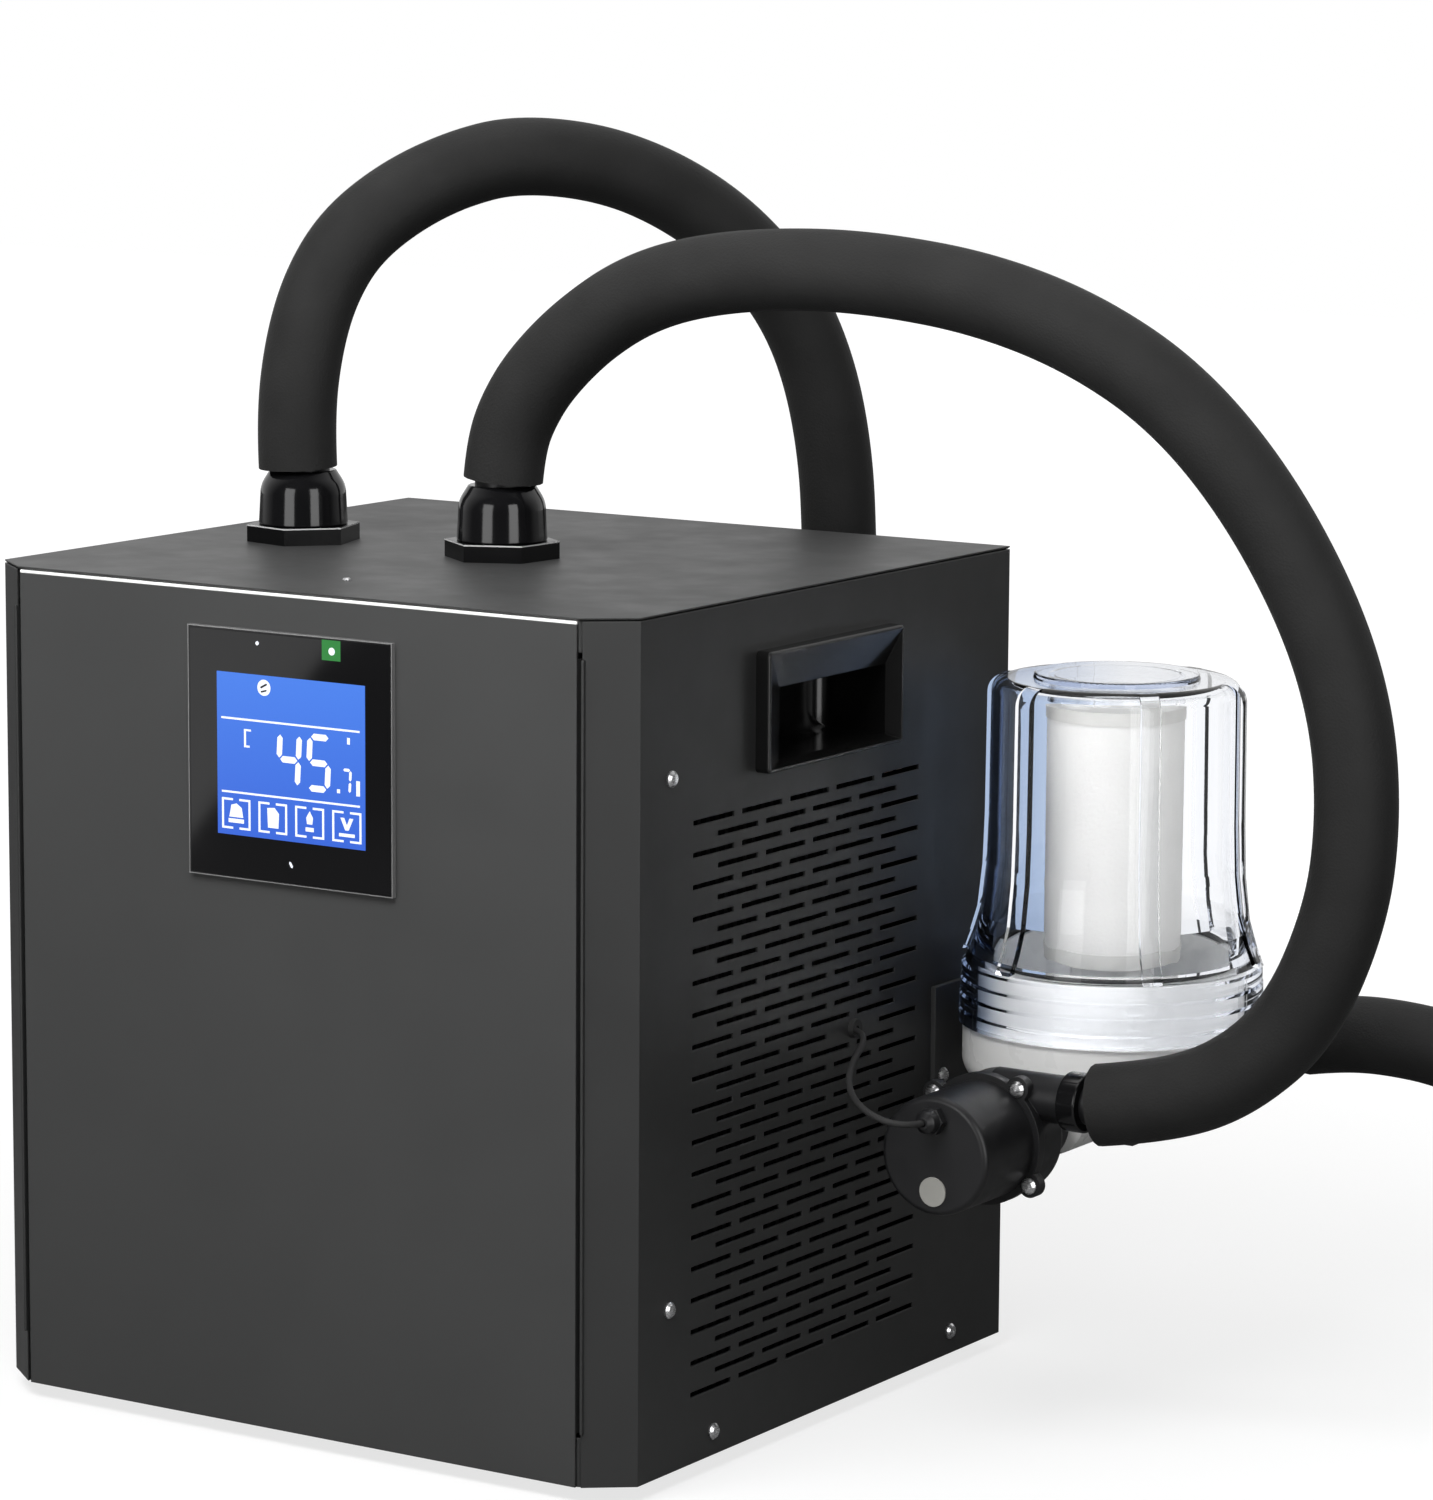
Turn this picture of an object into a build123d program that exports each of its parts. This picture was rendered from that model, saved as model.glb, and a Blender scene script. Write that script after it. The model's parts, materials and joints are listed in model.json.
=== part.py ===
from build123d import *
import math
import os

os.makedirs("parts", exist_ok=True)

# Cabinet, in millimetres; +X to the right, the front faces -Y, the floor is z = 0
WIDTH = 350.0
DEPTH = 330.0
HEIGHT = 381.5
FOOT_HEIGHT = 7.0
SHEET = 1.2
FACET_X = 21.0
FACET_Y = 16.0
SEAM = 1.2
LID_GAP = 0.3
FLANGE = 22.0

SIDE = WIDTH / 2
FRONT = -DEPTH / 2
REAR = DEPTH / 2
BOTTOM = FOOT_HEIGHT
TOP = FOOT_HEIGHT + HEIGHT
FACET_EDGE = SIDE - FACET_X
PANEL_TOP = TOP - SHEET - LID_GAP

# Feet
FOOT_RADIUS = 12.0
FOOT_PLACES = [(x, y) for x in (-113.0, 113.0) for y in (-133.0, 133.0)]

# Slotted grilles, the same on both sides
GRILLE_ROWS = 37
GRILLE_START = FRONT + 57.6
GRILLE_TOP = 294.0
ROW_PITCH = 7.1
SLOT_LENGTH = 33.0
SLOT_HEIGHT = 2.4
SLOT_PITCH = 39.4

# Recessed handles
HANDLE_Y = (FRONT + 107.5, FRONT + 222.8)
HANDLE_Z = (309.5, 363.8)
HANDLE_PROUD = 7.0
HANDLE_BORDER = 1.6
POCKET_Y = (FRONT + 127.0, FRONT + 217.5)
POCKET_Z = (313.0, 345.5)
POCKET_DEPTH = 36.0
CUP_WALL = 2.0

# Controller
PANEL_SIZE = 112.3
PANEL_X = 1.45
PANEL_Z = 314.0
PANEL_PROUD = 2.5
LCD_X = 2.4
LCD_WIDTH = 81.4
LCD_HEIGHT = 72.9

# Water fittings on the top
FITTING_Y = -10.0
FITTING_X = {"left": -109.0, "right": 5.5}
FITTING_TURN = {"left": 47.5, "right": 24.5}
HEX_SIDE = 27.0
HEX_THICK = 8.1
STEM_RADIUS = 16.6
STEM_END = TOP - 18.0
NECK_RADIUS = 15.0
TAIL_RADIUS = 12.5
DOME_HEIGHT = 25.6
DOME_TOP = TOP + HEX_THICK + DOME_HEIGHT

# Hoses
HOSE_DIAMETER = 37.0
HOSE_RADIUS = HOSE_DIAMETER / 2
TAIL_IN_HOSE = 14.0
THREAD_RADIUS = 13.2

# Filter, on the right side near the rear
FILTER_X = 251.0
FILTER_Y = 133.0
PORT_Z = 141.0
HEAD_BOTTOM = 147.0
HEAD_RIM = 175.0
HEAD_RADIUS = 69.0
NECK_TOP = 203.0
BOWL_TOP = 338.5
RIB_ANGLE = -46.0
CARTRIDGE_RADIUS = 31.75
CARTRIDGE_Z = (201.0, 325.0)
NOZZLE_RADIUS = 13.0
PORT_FACE = 58.0
NOZZLE_LENGTH = 23.0
NUT_LENGTH = 20.5
NUT_FACE = PORT_FACE + NOZZLE_LENGTH + 10.0

# Pump, in front of the filter, its axis along Y
PUMP_FRONT = -28.0
MOTOR_RADIUS = 27.0
MOTOR_END = 13.7
VOLUTE_END = 40.0
VOLUTE_RADIUS = 29.0
OUTLET_Y = 28.0
OUTLET_Z = PORT_Z + 19.5
OUTLET_END = 303.0
COLLAR_BACK = 15.5
SPIGOT_RADIUS = 11.0
SHAFT_RADIUS = 2.0
DISC_Z = PORT_Z - 16.0
FIT = 0.05

# Elbow behind the filter
ELBOW_Y = 264.0
ELBOW_LENGTH = 36.0
ELBOW_TILT = 12.0

# Cooling unit
COMPRESSOR = (20.0, 95.0)
COMPRESSOR_RADIUS = 50.0
TANK = (-100.0, 20.0)
TANK_RADIUS = 58.0
TANK_Z = (SHEET + BOTTOM, 270.0)
STUB_END = TANK_Z[1] + 12.0
OUTLET_STUB_X = -41.0
OUTLET_PIPE_Z = 70.0
COIL_X = (128.0, 156.0)
COIL_Y = (-108.0, 84.0)
COIL_Z = (BOTTOM + SHEET, 297.0)
FIN_GAPS = 24
FIN_PITCH = 7.5
FIN_GAP = 4.5
FIN_DEPTH = 8.0
BENDS = 5
BEND_START = 60.0
BEND_PITCH = 48.0
BEND_SPAN = 24.0
TUBE_X = (COIL_X[0] + COIL_X[1]) / 2
TUBE_RADIUS = 3.5
FAN_Y = -12.0
FAN_Z = 168.0
FAN_RADIUS = 84.0
FAN_X = 94.0
FAN_BLADES = 5
FAN_TIP_GAP = 1.5
FAN_MOTOR_X = 51.0
FAN_MOTOR_RADIUS = 29.5
FAN_SHAFT_RADIUS = 2.5
FAN_ARMS = 3
FAN_ARM_X = 84.0
SHROUD_X = (124.0, 126.0)
SHROUD_HALF = 100.0
DISCHARGE_Z = 60.0
SUCTION_Z = 125.0
DRIER = (60.0, -132.0)
DRIER_Z = (80.0, 158.0)
STUB = 5.0
HOT_GAS_Z = 288.0
LIQUID_Z = 55.0
EXPANSION_Z = 215.0
COLD_GAS_Z = 225.0
WATER_PIPE_RADIUS = 9.5
HOT_PIPE_RADIUS = 3.2
COLD_PIPE_RADIUS = 4.8
CAPILLARY_RADIUS = 2.0

# Mains inlet in the rear panel, across and up
INLET = (-110.0, 60.0)

# Cable between pump and cabinet
CABLE_RADIUS = 1.5
PINCH = 0.02
GLAND_Z = PORT_Z + 16.6
GROMMET_Y = FRONT + 192.3
GROMMET_Z = 180.4

# Sheet metal gaps and screws
THROUGH = (SIDE - 3, SIDE + 1)
GAP = 0.2
SCREW_HOLE = 2.1
SCREW_HEAD = 3.7
LID_SCREW_HEAD = 1.9
LID_SCREW_HOLE = 1.15

SIDE_SCREWS = [
    (FRONT + 40.0, 316.0),
    (FRONT + 40.0, 81.0),
    (FRONT + 76.0, BOTTOM + 11.0),
    (FRONT + 283.0, BOTTOM + 11.0),
]
BRACKET_T = 2.5
BRACKET_SCREWS = [(104.0, 145.0), (156.0, 145.0), (134.0, 181.0)]
BRACKET_Y = (97.0, 163.0)
SHELF_Y = (110.0, 156.0)
SHELF_TOP = 125.0
SHELF_END = 276.0
GUSSET = (34.0, 20.0)
REAR_SCREWS = [(x, z) for x in (-140.0, 140.0) for z in (BOTTOM + 11, TOP - 9)]
LID_SCREW = (-2.5, FRONT + 45.8)
PUMP_SCREW_ANGLES = (54, 144, 234, 324)
PUMP_SCREW_CIRCLE = 31.0
EAR_RADIUS = 5.5
FLANGE_THICK = 5.0


def block(x, y, z):
    """A block between two limits on each axis."""
    centre = Pos((x[0] + x[1]) / 2, (y[0] + y[1]) / 2, (z[0] + z[1]) / 2)
    return centre * Box(x[1] - x[0], y[1] - y[0], z[1] - z[0])


def rod(start, end, radius):
    """A round bar from one point to another."""
    line = Vector(*end) - Vector(*start)
    return extrude(Plane(origin=start, z_dir=line) * Circle(radius), line.length)


def turned(points, rounds=()):
    """A solid turned about Z from (radius, height) points, with some corners rounded."""
    sketch = Sketch() + make_face(Polyline(*points, close=True))
    for index, radius in rounds:
        corner = Vector(*points[index])
        vertex = min(sketch.vertices(), key=lambda v: (Vector(*v) - corner).length)
        sketch = fillet(vertex, radius)
    return revolve(Plane.XZ * sketch, Axis.Z)


def along_y(shape, x, y, z):
    """Lay a turned solid along +Y, its foot at a point."""
    return Pos(x, y, z) * Rot(-90, 0, 0) * shape


def along_x(shape, x, y, z):
    """Lay a turned solid along +X, its foot at a point."""
    return Pos(x, y, z) * Rot(0, 90, 0) * shape


def footprint(inset):
    """The cabinet's outline from above, with its two front facets, drawn in by inset."""
    corners = [
        (-FACET_EDGE, FRONT),
        (FACET_EDGE, FRONT),
        (SIDE, FRONT + FACET_Y),
        (SIDE, REAR),
        (-SIDE, REAR),
        (-SIDE, FRONT + FACET_Y),
    ]
    face = make_face(Polyline(*corners, close=True))
    if inset:
        face = offset(face, amount=-inset, kind=Kind.INTERSECTION)
    return face


def wall(inset, thick, z):
    """An upright wall of sheet that follows the cabinet's outline."""
    ring = footprint(inset) - footprint(inset + thick)
    return Pos(0, 0, z[0]) * extrude(ring, z[1] - z[0])


def corner_radii(points):
    """The largest arc that each corner's two runs allow."""
    radii = []
    for before, here, after in zip(points, points[1:], points[2:]):
        run_in = Vector(*here) - Vector(*before)
        run_out = Vector(*after) - Vector(*here)
        half_turn = math.radians(run_in.get_angle(run_out)) / 2
        radii.append(0.45 * min(run_in.length, run_out.length) / math.tan(half_turn))
    return radii


def pipe(points, radius, bend):
    """A round pipe with one bend radius."""
    line = FilletPolyline(*points, radius=bend)
    section = Plane(origin=line @ 0, z_dir=line % 0) * Circle(radius)
    return sweep(section, path=line)


def hose(name, points, radius):
    """A flexible tube along a route, with the largest arcs its runs allow."""
    radii = corner_radii(points)
    line = FilletPolyline(*points, radius=radii)
    section = Plane(origin=line @ 0, z_dir=line % 0) * Circle(radius)
    tube = sweep(section, path=line)
    share = tube.volume / (math.pi * radius**2 * line.length)
    print(name, "length", round(line.length), "volume share", round(share, 4))
    print(name, "radii", [round(r) for r in radii])
    return tube


def save(name, *shapes):
    """Write one node."""
    whole = shapes[0] if len(shapes) == 1 else Compound(children=list(shapes))
    export_step(whole, f"parts/{name}.step")


def mirrored(shape):
    """The same piece for the left side."""
    return mirror(shape, about=Plane.YZ)


def panel_block(half, y):
    """A square block centred on the controller."""
    return block((PANEL_X - half, PANEL_X + half), y, (PANEL_Z - half, PANEL_Z + half))


def display_block(x, y, z):
    """A block of the given half width and half height, centred on the display."""
    return block((LCD_X - x, LCD_X + x), y, (PANEL_Z - z, PANEL_Z + z))


# Panels

def make_base_pan():
    floor = Pos(0, 0, BOTTOM) * extrude(footprint(SHEET + GAP), SHEET)
    flange = wall(SHEET + GAP, SHEET, (BOTTOM, BOTTOM + FLANGE))
    pan = floor + flange
    for x, y in FOOT_PLACES:
        pan -= rod((x, y, BOTTOM - 1), (x, y, BOTTOM + SHEET + 1), 2.6)
    for y, z in SIDE_SCREWS[2:]:
        pan -= rod((-SIDE, y, z), (SIDE, y, z), SCREW_HOLE)
    return pan - rear_holes()


def rear_holes():
    """Screw holes along the rear edges."""
    return [rod((x, REAR - 8, z), (x, REAR + 1, z), SCREW_HOLE) for x, z in REAR_SCREWS]


def make_front_panel():
    edge = FACET_EDGE - SEAM
    panel = block((-edge, edge), (FRONT, FRONT + SHEET), (BOTTOM, PANEL_TOP))
    panel = fillet(panel.faces().sort_by(Axis.Y)[0].edges().sort_by(Axis.Z)[-1], 1.0)
    for side in (-1, 1):
        x = sorted((side * edge, side * (edge - SHEET)))
        panel += block(x, (FRONT, FRONT + 12), (BOTTOM + FLANGE + 2, TOP - 18))
    return panel - panel_block(PANEL_SIZE / 2 - 3, (FRONT - 1, FRONT + 2))


def slot_places():
    """Centres (y, z) of the grille's staggered slots, row by row from the top."""
    places = []
    for row in range(GRILLE_ROWS):
        long_row = row % 2 == 0
        start = GRILLE_START + (0 if long_row else SLOT_PITCH / 2)
        for column in range(5 if long_row else 4):
            y = start + SLOT_LENGTH / 2 + column * SLOT_PITCH
            places.append((y, GRILLE_TOP - row * ROW_PITCH))
    return places


def slot(y, z):
    half = SLOT_LENGTH / 2
    return block(THROUGH, (y - half, y + half), (z - SLOT_HEIGHT / 2, z + SLOT_HEIGHT / 2))


def side_hole(y, z, radius):
    return rod((THROUGH[0], y, z), (THROUGH[1], y, z), radius)


def under_grommet(y, z):
    """True for the slot that the cable's grommet takes the place of."""
    return abs(y - GROMMET_Y) < SLOT_LENGTH / 2 and abs(z - GROMMET_Z) < ROW_PITCH / 2


def make_side_panel(grommet):
    sheet = wall(0, SHEET, (BOTTOM, PANEL_TOP))
    panel = sheet & block((FACET_EDGE + SEAM, SIDE + 1), (FRONT, REAR), (0, TOP))
    panel += block(
        (FACET_EDGE + SEAM, FACET_EDGE + SEAM + SHEET),
        (FRONT, FRONT + 12),
        (BOTTOM + FLANGE + 2, TOP - 18),
    )
    places = slot_places()
    holes = SIDE_SCREWS
    if grommet:
        places = [place for place in places if not under_grommet(*place)]
        holes = SIDE_SCREWS + BRACKET_SCREWS
    cuts = [slot(y, z) for y, z in places]
    cuts += [side_hole(y, z, SCREW_HOLE) for y, z in holes]
    cup_y = (POCKET_Y[0] - CUP_WALL - 0.5, POCKET_Y[1] + CUP_WALL + 0.5)
    cup_z = (POCKET_Z[0] - CUP_WALL - 0.3, POCKET_Z[1] + CUP_WALL + 0.5)
    cuts.append(block(THROUGH, cup_y, cup_z))
    if grommet:
        cuts.append(side_hole(GROMMET_Y, GROMMET_Z, 3.6))
    return panel - cuts


def make_rear_panel():
    edge = FACET_EDGE - SEAM
    panel = block((-edge, edge), (REAR - SHEET, REAR), (BOTTOM, PANEL_TOP))
    x, z = INLET
    cut = block((x - 14.6, x + 14.6), (REAR - 3, REAR + 1), (z - 10.6, z + 10.6))
    return panel - cut - rear_holes()


def make_top_cover():
    plate = Pos(0, 0, TOP - SHEET) * extrude(footprint(0), SHEET)
    plate = chamfer(plate.faces().sort_by(Axis.Z)[0].edges(), 0.7)
    flange = wall(SHEET + GAP, SHEET, (TOP - 15, TOP - SHEET))
    cover = plate + flange
    for x in FITTING_X.values():
        cover -= rod((x, FITTING_Y, TOP - 3), (x, FITTING_Y, TOP + 1), STEM_RADIUS + 0.3)
    cover -= rod((*LID_SCREW, TOP - 3), (*LID_SCREW, TOP + 1), LID_SCREW_HOLE)
    return cover - rear_holes()


def make_foot(x, y):
    foot = turned([(0, 0), (FOOT_RADIUS - 1, 0), (FOOT_RADIUS, 1), (10.5, 7), (0, 7)])
    return Pos(x, y, 0) * (foot + rod((0, 0, 6), (0, 0, 13), 2.5))


def screw_head(length, radius=SCREW_HEAD):
    """A small pan-head screw along Z, its seat at z = 0."""
    head = turned(
        [(0, 0), (radius, 0), (radius, 0.22 * radius), (0.7 * radius, 0.54 * radius), (0, 0.6 * radius)]
    )
    return head + rod((0, 0, -length), (0, 0, 0), 0.54 * radius)


def make_panel_screws():
    screws = []
    for y, z in SIDE_SCREWS:
        screws.append(Pos(SIDE, y, z) * Rot(0, 90, 0) * screw_head(5))
        screws.append(Pos(-SIDE, y, z) * Rot(0, -90, 0) * screw_head(5))
    for y, z in BRACKET_SCREWS:
        screws.append(Pos(SIDE + BRACKET_T, y, z) * Rot(0, 90, 0) * screw_head(6))
    for x, z in REAR_SCREWS:
        screws.append(Pos(x, REAR, z) * Rot(-90, 0, 0) * screw_head(5))
    screws.append(Pos(*LID_SCREW, TOP) * screw_head(4, LID_SCREW_HEAD))
    return screws


# Handle cups

def rectangle_at(x, y, z):
    """A rectangle in the YZ plane at one x."""
    centre = Plane(origin=(x, (y[0] + y[1]) / 2, (z[0] + z[1]) / 2), x_dir=(0, 1, 0), z_dir=(1, 0, 0))
    return centre * Rectangle(y[1] - y[0], z[1] - z[0])


def make_handle_cup():
    """Raised frame with a funnel mouth, and the finger pocket behind it."""
    face = SIDE + HANDLE_PROUD
    frame = block((SIDE, face), HANDLE_Y, HANDLE_Z)
    frame = fillet(frame.edges().filter_by(Axis.X), 2.5)
    frame = fillet(frame.faces().sort_by(Axis.X)[-1].edges(), 1.2)
    cup_y = (POCKET_Y[0] - CUP_WALL, POCKET_Y[1] + CUP_WALL)
    cup_z = (POCKET_Z[0] - CUP_WALL, POCKET_Z[1] + CUP_WALL)
    cup = block((SIDE - POCKET_DEPTH - CUP_WALL, SIDE + 1), cup_y, cup_z)
    mouth_y = (HANDLE_Y[0] + HANDLE_BORDER, HANDLE_Y[1] - HANDLE_BORDER)
    mouth_z = (HANDLE_Z[0] + HANDLE_BORDER, HANDLE_Z[1] - HANDLE_BORDER)
    mouth = rectangle_at(face + 0.05, mouth_y, mouth_z)
    throat = rectangle_at(SIDE, POCKET_Y, POCKET_Z)
    funnel = loft([throat, mouth], ruled=True)
    pocket = block((SIDE - POCKET_DEPTH, SIDE), POCKET_Y, POCKET_Z)
    pocket = fillet(pocket.faces().sort_by(Axis.X)[0].edges(), 9)
    return frame + cup - funnel - pocket


# Controller

def make_bezel():
    half = PANEL_SIZE / 2
    face = FRONT - PANEL_PROUD
    frame = panel_block(half, (face, FRONT))
    frame -= panel_block(half - 1.2, (face - 1, face + 1.6))
    collar = panel_block(half - 3.5, (FRONT, FRONT + 16))
    collar -= panel_block(half - 5.5, (FRONT, FRONT + 17))
    return frame + collar - display_block(LCD_WIDTH / 2, (face, FRONT + 1), LCD_HEIGHT / 2)


def make_glass():
    face = FRONT - PANEL_PROUD
    return panel_block(PANEL_SIZE / 2 - 1.3, (face, face + 1.5))


def make_lcd():
    face = FRONT - PANEL_PROUD + 1.6
    x = LCD_WIDTH / 2 - 0.2
    z = LCD_HEIGHT / 2 - 0.2
    module = display_block(x, (face, FRONT + 2), z)
    return module + display_block(x + 4, (FRONT + 2, FRONT + 4), z + 4)


def make_controller_case():
    half = PANEL_SIZE / 2 - 3.5
    case = panel_block(half, (FRONT + 16, FRONT + 30)) - panel_block(half - 2, (FRONT + 15, FRONT + 28))
    return fillet(case.faces().sort_by(Axis.Y)[-1].edges(), 3)


# Water fittings

def make_bulkhead(x):
    """Threaded fitting through the cover, with its hose tail above and its pipe stub below."""
    body = turned(
        [
            (8, STEM_END),
            (STEM_RADIUS, STEM_END),
            (STEM_RADIUS, TOP + HEX_THICK),
            (NECK_RADIUS, TOP + HEX_THICK),
            (NECK_RADIUS, TOP + HEX_THICK + 14),
            (TAIL_RADIUS, TOP + HEX_THICK + 15),
            (TAIL_RADIUS, DOME_TOP + TAIL_IN_HOSE),
            (8, DOME_TOP + TAIL_IN_HOSE),
        ]
    )
    return Pos(x, FITTING_Y, 0) * body


def make_hex(x, turn, z, side, thick):
    nut = extrude(RegularPolygon(side, 6, rotation=turn), thick)
    nut -= Cylinder(STEM_RADIUS + GAP, 4 * thick)
    return Pos(x, FITTING_Y, z) * nut


def make_dome_nut(x):
    bore = TAIL_RADIUS + FIT
    thread = NECK_RADIUS + 0.3
    nut = turned(
        [
            (thread, 0.1),
            (21, 0.1),
            (20, 18.5),
            (15.5, DOME_HEIGHT),
            (bore, DOME_HEIGHT),
            (bore, 16.2),
            (thread, 15.5),
        ],
        rounds=[(1, 0.6), (2, 14), (3, 0.8)],
    )
    return Pos(x, FITTING_Y, TOP + HEX_THICK) * nut


# Filter

def head_nozzle(side):
    """One threaded nozzle of the filter head, toward -Y or +Y."""
    start = (FILTER_X, FILTER_Y, PORT_Z)
    face = FILTER_Y + side * PORT_FACE
    end = FILTER_Y + side * (PORT_FACE + NOZZLE_LENGTH)
    boss = rod(start, (FILTER_X, face, PORT_Z), 19)
    nozzle = rod(start, (FILTER_X, end, PORT_Z), NOZZLE_RADIUS)
    bore = rod(
        (FILTER_X, FILTER_Y + side * 20, PORT_Z),
        (FILTER_X, end + side, PORT_Z),
        SPIGOT_RADIUS - 1,
    )
    return boss + nozzle, bore


def make_filter_head():
    ring = turned(
        [
            (0, HEAD_BOTTOM),
            (HEAD_RADIUS, HEAD_BOTTOM),
            (HEAD_RADIUS, HEAD_RIM),
            (62, HEAD_RIM),
            (62, NECK_TOP),
            (56, NECK_TOP),
            (56, HEAD_BOTTOM + 6),
            (20, HEAD_BOTTOM + 6),
            (20, CARTRIDGE_Z[0] - 3),
            (12.5, CARTRIDGE_Z[0] - 3),
            (12.5, CARTRIDGE_Z[0] + 10),
            (9, CARTRIDGE_Z[0] + 10),
            (9, HEAD_BOTTOM + 12),
            (0, HEAD_BOTTOM + 12),
        ],
        rounds=[(1, 11)],
    )
    head = Pos(FILTER_X, FILTER_Y, 0) * ring
    head += block((226, SHELF_END), SHELF_Y, (SHELF_TOP, HEAD_BOTTOM + 1))
    for side in (-1, 1):
        port, bore = head_nozzle(side)
        head = head + port - bore
    return head - block((220, 282), (108, 158), (118, SHELF_TOP))


def bowl_profile(extra):
    """Outer line of the bowl from its lip to its shoulder, moved out by extra."""
    return [
        (68.0 + extra, 205),
        (64.5 + extra, 214),
        (61.0 + extra, 226),
        (58.8 + extra, 246),
        (58.0 + extra, 270),
        (57.5 + extra, BOWL_TOP - 2.5),
    ]


def make_filter_bowl():
    lip = []
    for n in range(4):
        z = HEAD_RIM + 0.3 + 7.2 * n
        lip += [(71.0 - 0.4 * n, z), (71.0 - 0.4 * n, z + 5.4), (69.2 - 0.4 * n, z + 6.2)]
    inner = [
        (29, BOWL_TOP - 6),
        (29, BOWL_TOP - 11),
        (31.5, BOWL_TOP - 11),
        (31.5, BOWL_TOP - 6),
        (53.7, BOWL_TOP - 6),
        (54.5, 250),
        (58, 218),
        (58, NECK_TOP + 3.3),
        (62.6, NECK_TOP + 3.3),
        (62.6, HEAD_RIM + 0.3),
    ]
    outer = lip + bowl_profile(0)
    top = [(38.6, BOWL_TOP - 2.5), (38, BOWL_TOP), (0, BOWL_TOP), (0, BOWL_TOP - 6)]
    points = outer + top + inner
    shoulder = len(outer) - 1
    bowl = turned(points, rounds=[(shoulder, 7), (shoulder + 2, 1), (shoulder + 9, 4)])
    rib_top = [(50, BOWL_TOP - 2.5), (50, BOWL_TOP - 4), (55.5, 300)]
    ribs = turned([(60, 207.5)] + bowl_profile(3.2) + rib_top, rounds=[(6, 9)])
    ribs -= turned([(0, 200), (61, 200), (61, 214), (56.5, 250), (55.5, BOWL_TOP - 6), (0, BOWL_TOP - 4)])
    for n in range(6):
        angle = RIB_ANGLE + 60 * n
        slab = Rot(0, 0, angle) * block((45, 75), (-4.5, 4.5), (200, BOWL_TOP))
        bowl += ribs & slab
    return Pos(FILTER_X, FILTER_Y, 0) * bowl


def make_o_ring():
    ring = Torus(59.0, 1.5)
    return Pos(FILTER_X, FILTER_Y, NECK_TOP + 1.6) * ring


def make_cartridge():
    low, high = CARTRIDGE_Z
    body = turned(
        [(15, low + 8), (CARTRIDGE_RADIUS, low + 8), (CARTRIDGE_RADIUS, high - 7), (15, high - 7)]
    )
    return Pos(FILTER_X, FILTER_Y, 0) * body


def make_cartridge_caps():
    low, high = CARTRIDGE_Z
    radius = CARTRIDGE_RADIUS + 0.6
    lower = turned([(12.6, low), (radius, low), (radius, low + 8), (12.6, low + 8)])
    upper = turned(
        [(0, high - 7), (radius, high - 7), (radius, high - 1), (20, high), (0, high)]
    )
    return [Pos(FILTER_X, FILTER_Y, 0) * cap for cap in (lower, upper)]


def make_filter_bracket():
    """Angle bracket: a plate on the side panel and a shelf under the filter head."""
    low = SHELF_TOP - BRACKET_T
    bracket = block((SIDE, SIDE + BRACKET_T), BRACKET_Y, (low, 188))
    bracket += block((SIDE, SHELF_END), SHELF_Y, (low, SHELF_TOP))
    bracket += block((SIDE, SIDE + GUSSET[0]), BRACKET_Y, (low, SHELF_TOP))
    corners = [(SIDE, SHELF_TOP), (SIDE + GUSSET[0], SHELF_TOP), (SIDE, SHELF_TOP + GUSSET[1])]
    gusset = make_face(Polyline(*corners, close=True))
    for y in (BRACKET_Y[0], BRACKET_Y[1] - BRACKET_T):
        plane = Plane(origin=(0, y, 0), x_dir=(1, 0, 0), z_dir=(0, -1, 0))
        bracket += extrude(plane * gusset, -BRACKET_T)
    for y, z in BRACKET_SCREWS:
        bracket -= rod((SIDE - 1, y, z), (SIDE + 4, y, z), SCREW_HOLE)
    return bracket


# Pump

def make_motor_case():
    length = MOTOR_END - PUMP_FRONT
    case = turned(
        [
            (0, 0),
            (MOTOR_RADIUS, 0),
            (MOTOR_RADIUS, length),
            (15.5, length),
            (15.5, 12),
            (SHAFT_RADIUS + FIT, 12),
            (SHAFT_RADIUS + FIT, 5),
            (0, 5),
        ],
        rounds=[(1, 2.5)],
    )
    return along_y(case, FILTER_X, PUMP_FRONT, PORT_Z)


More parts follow.
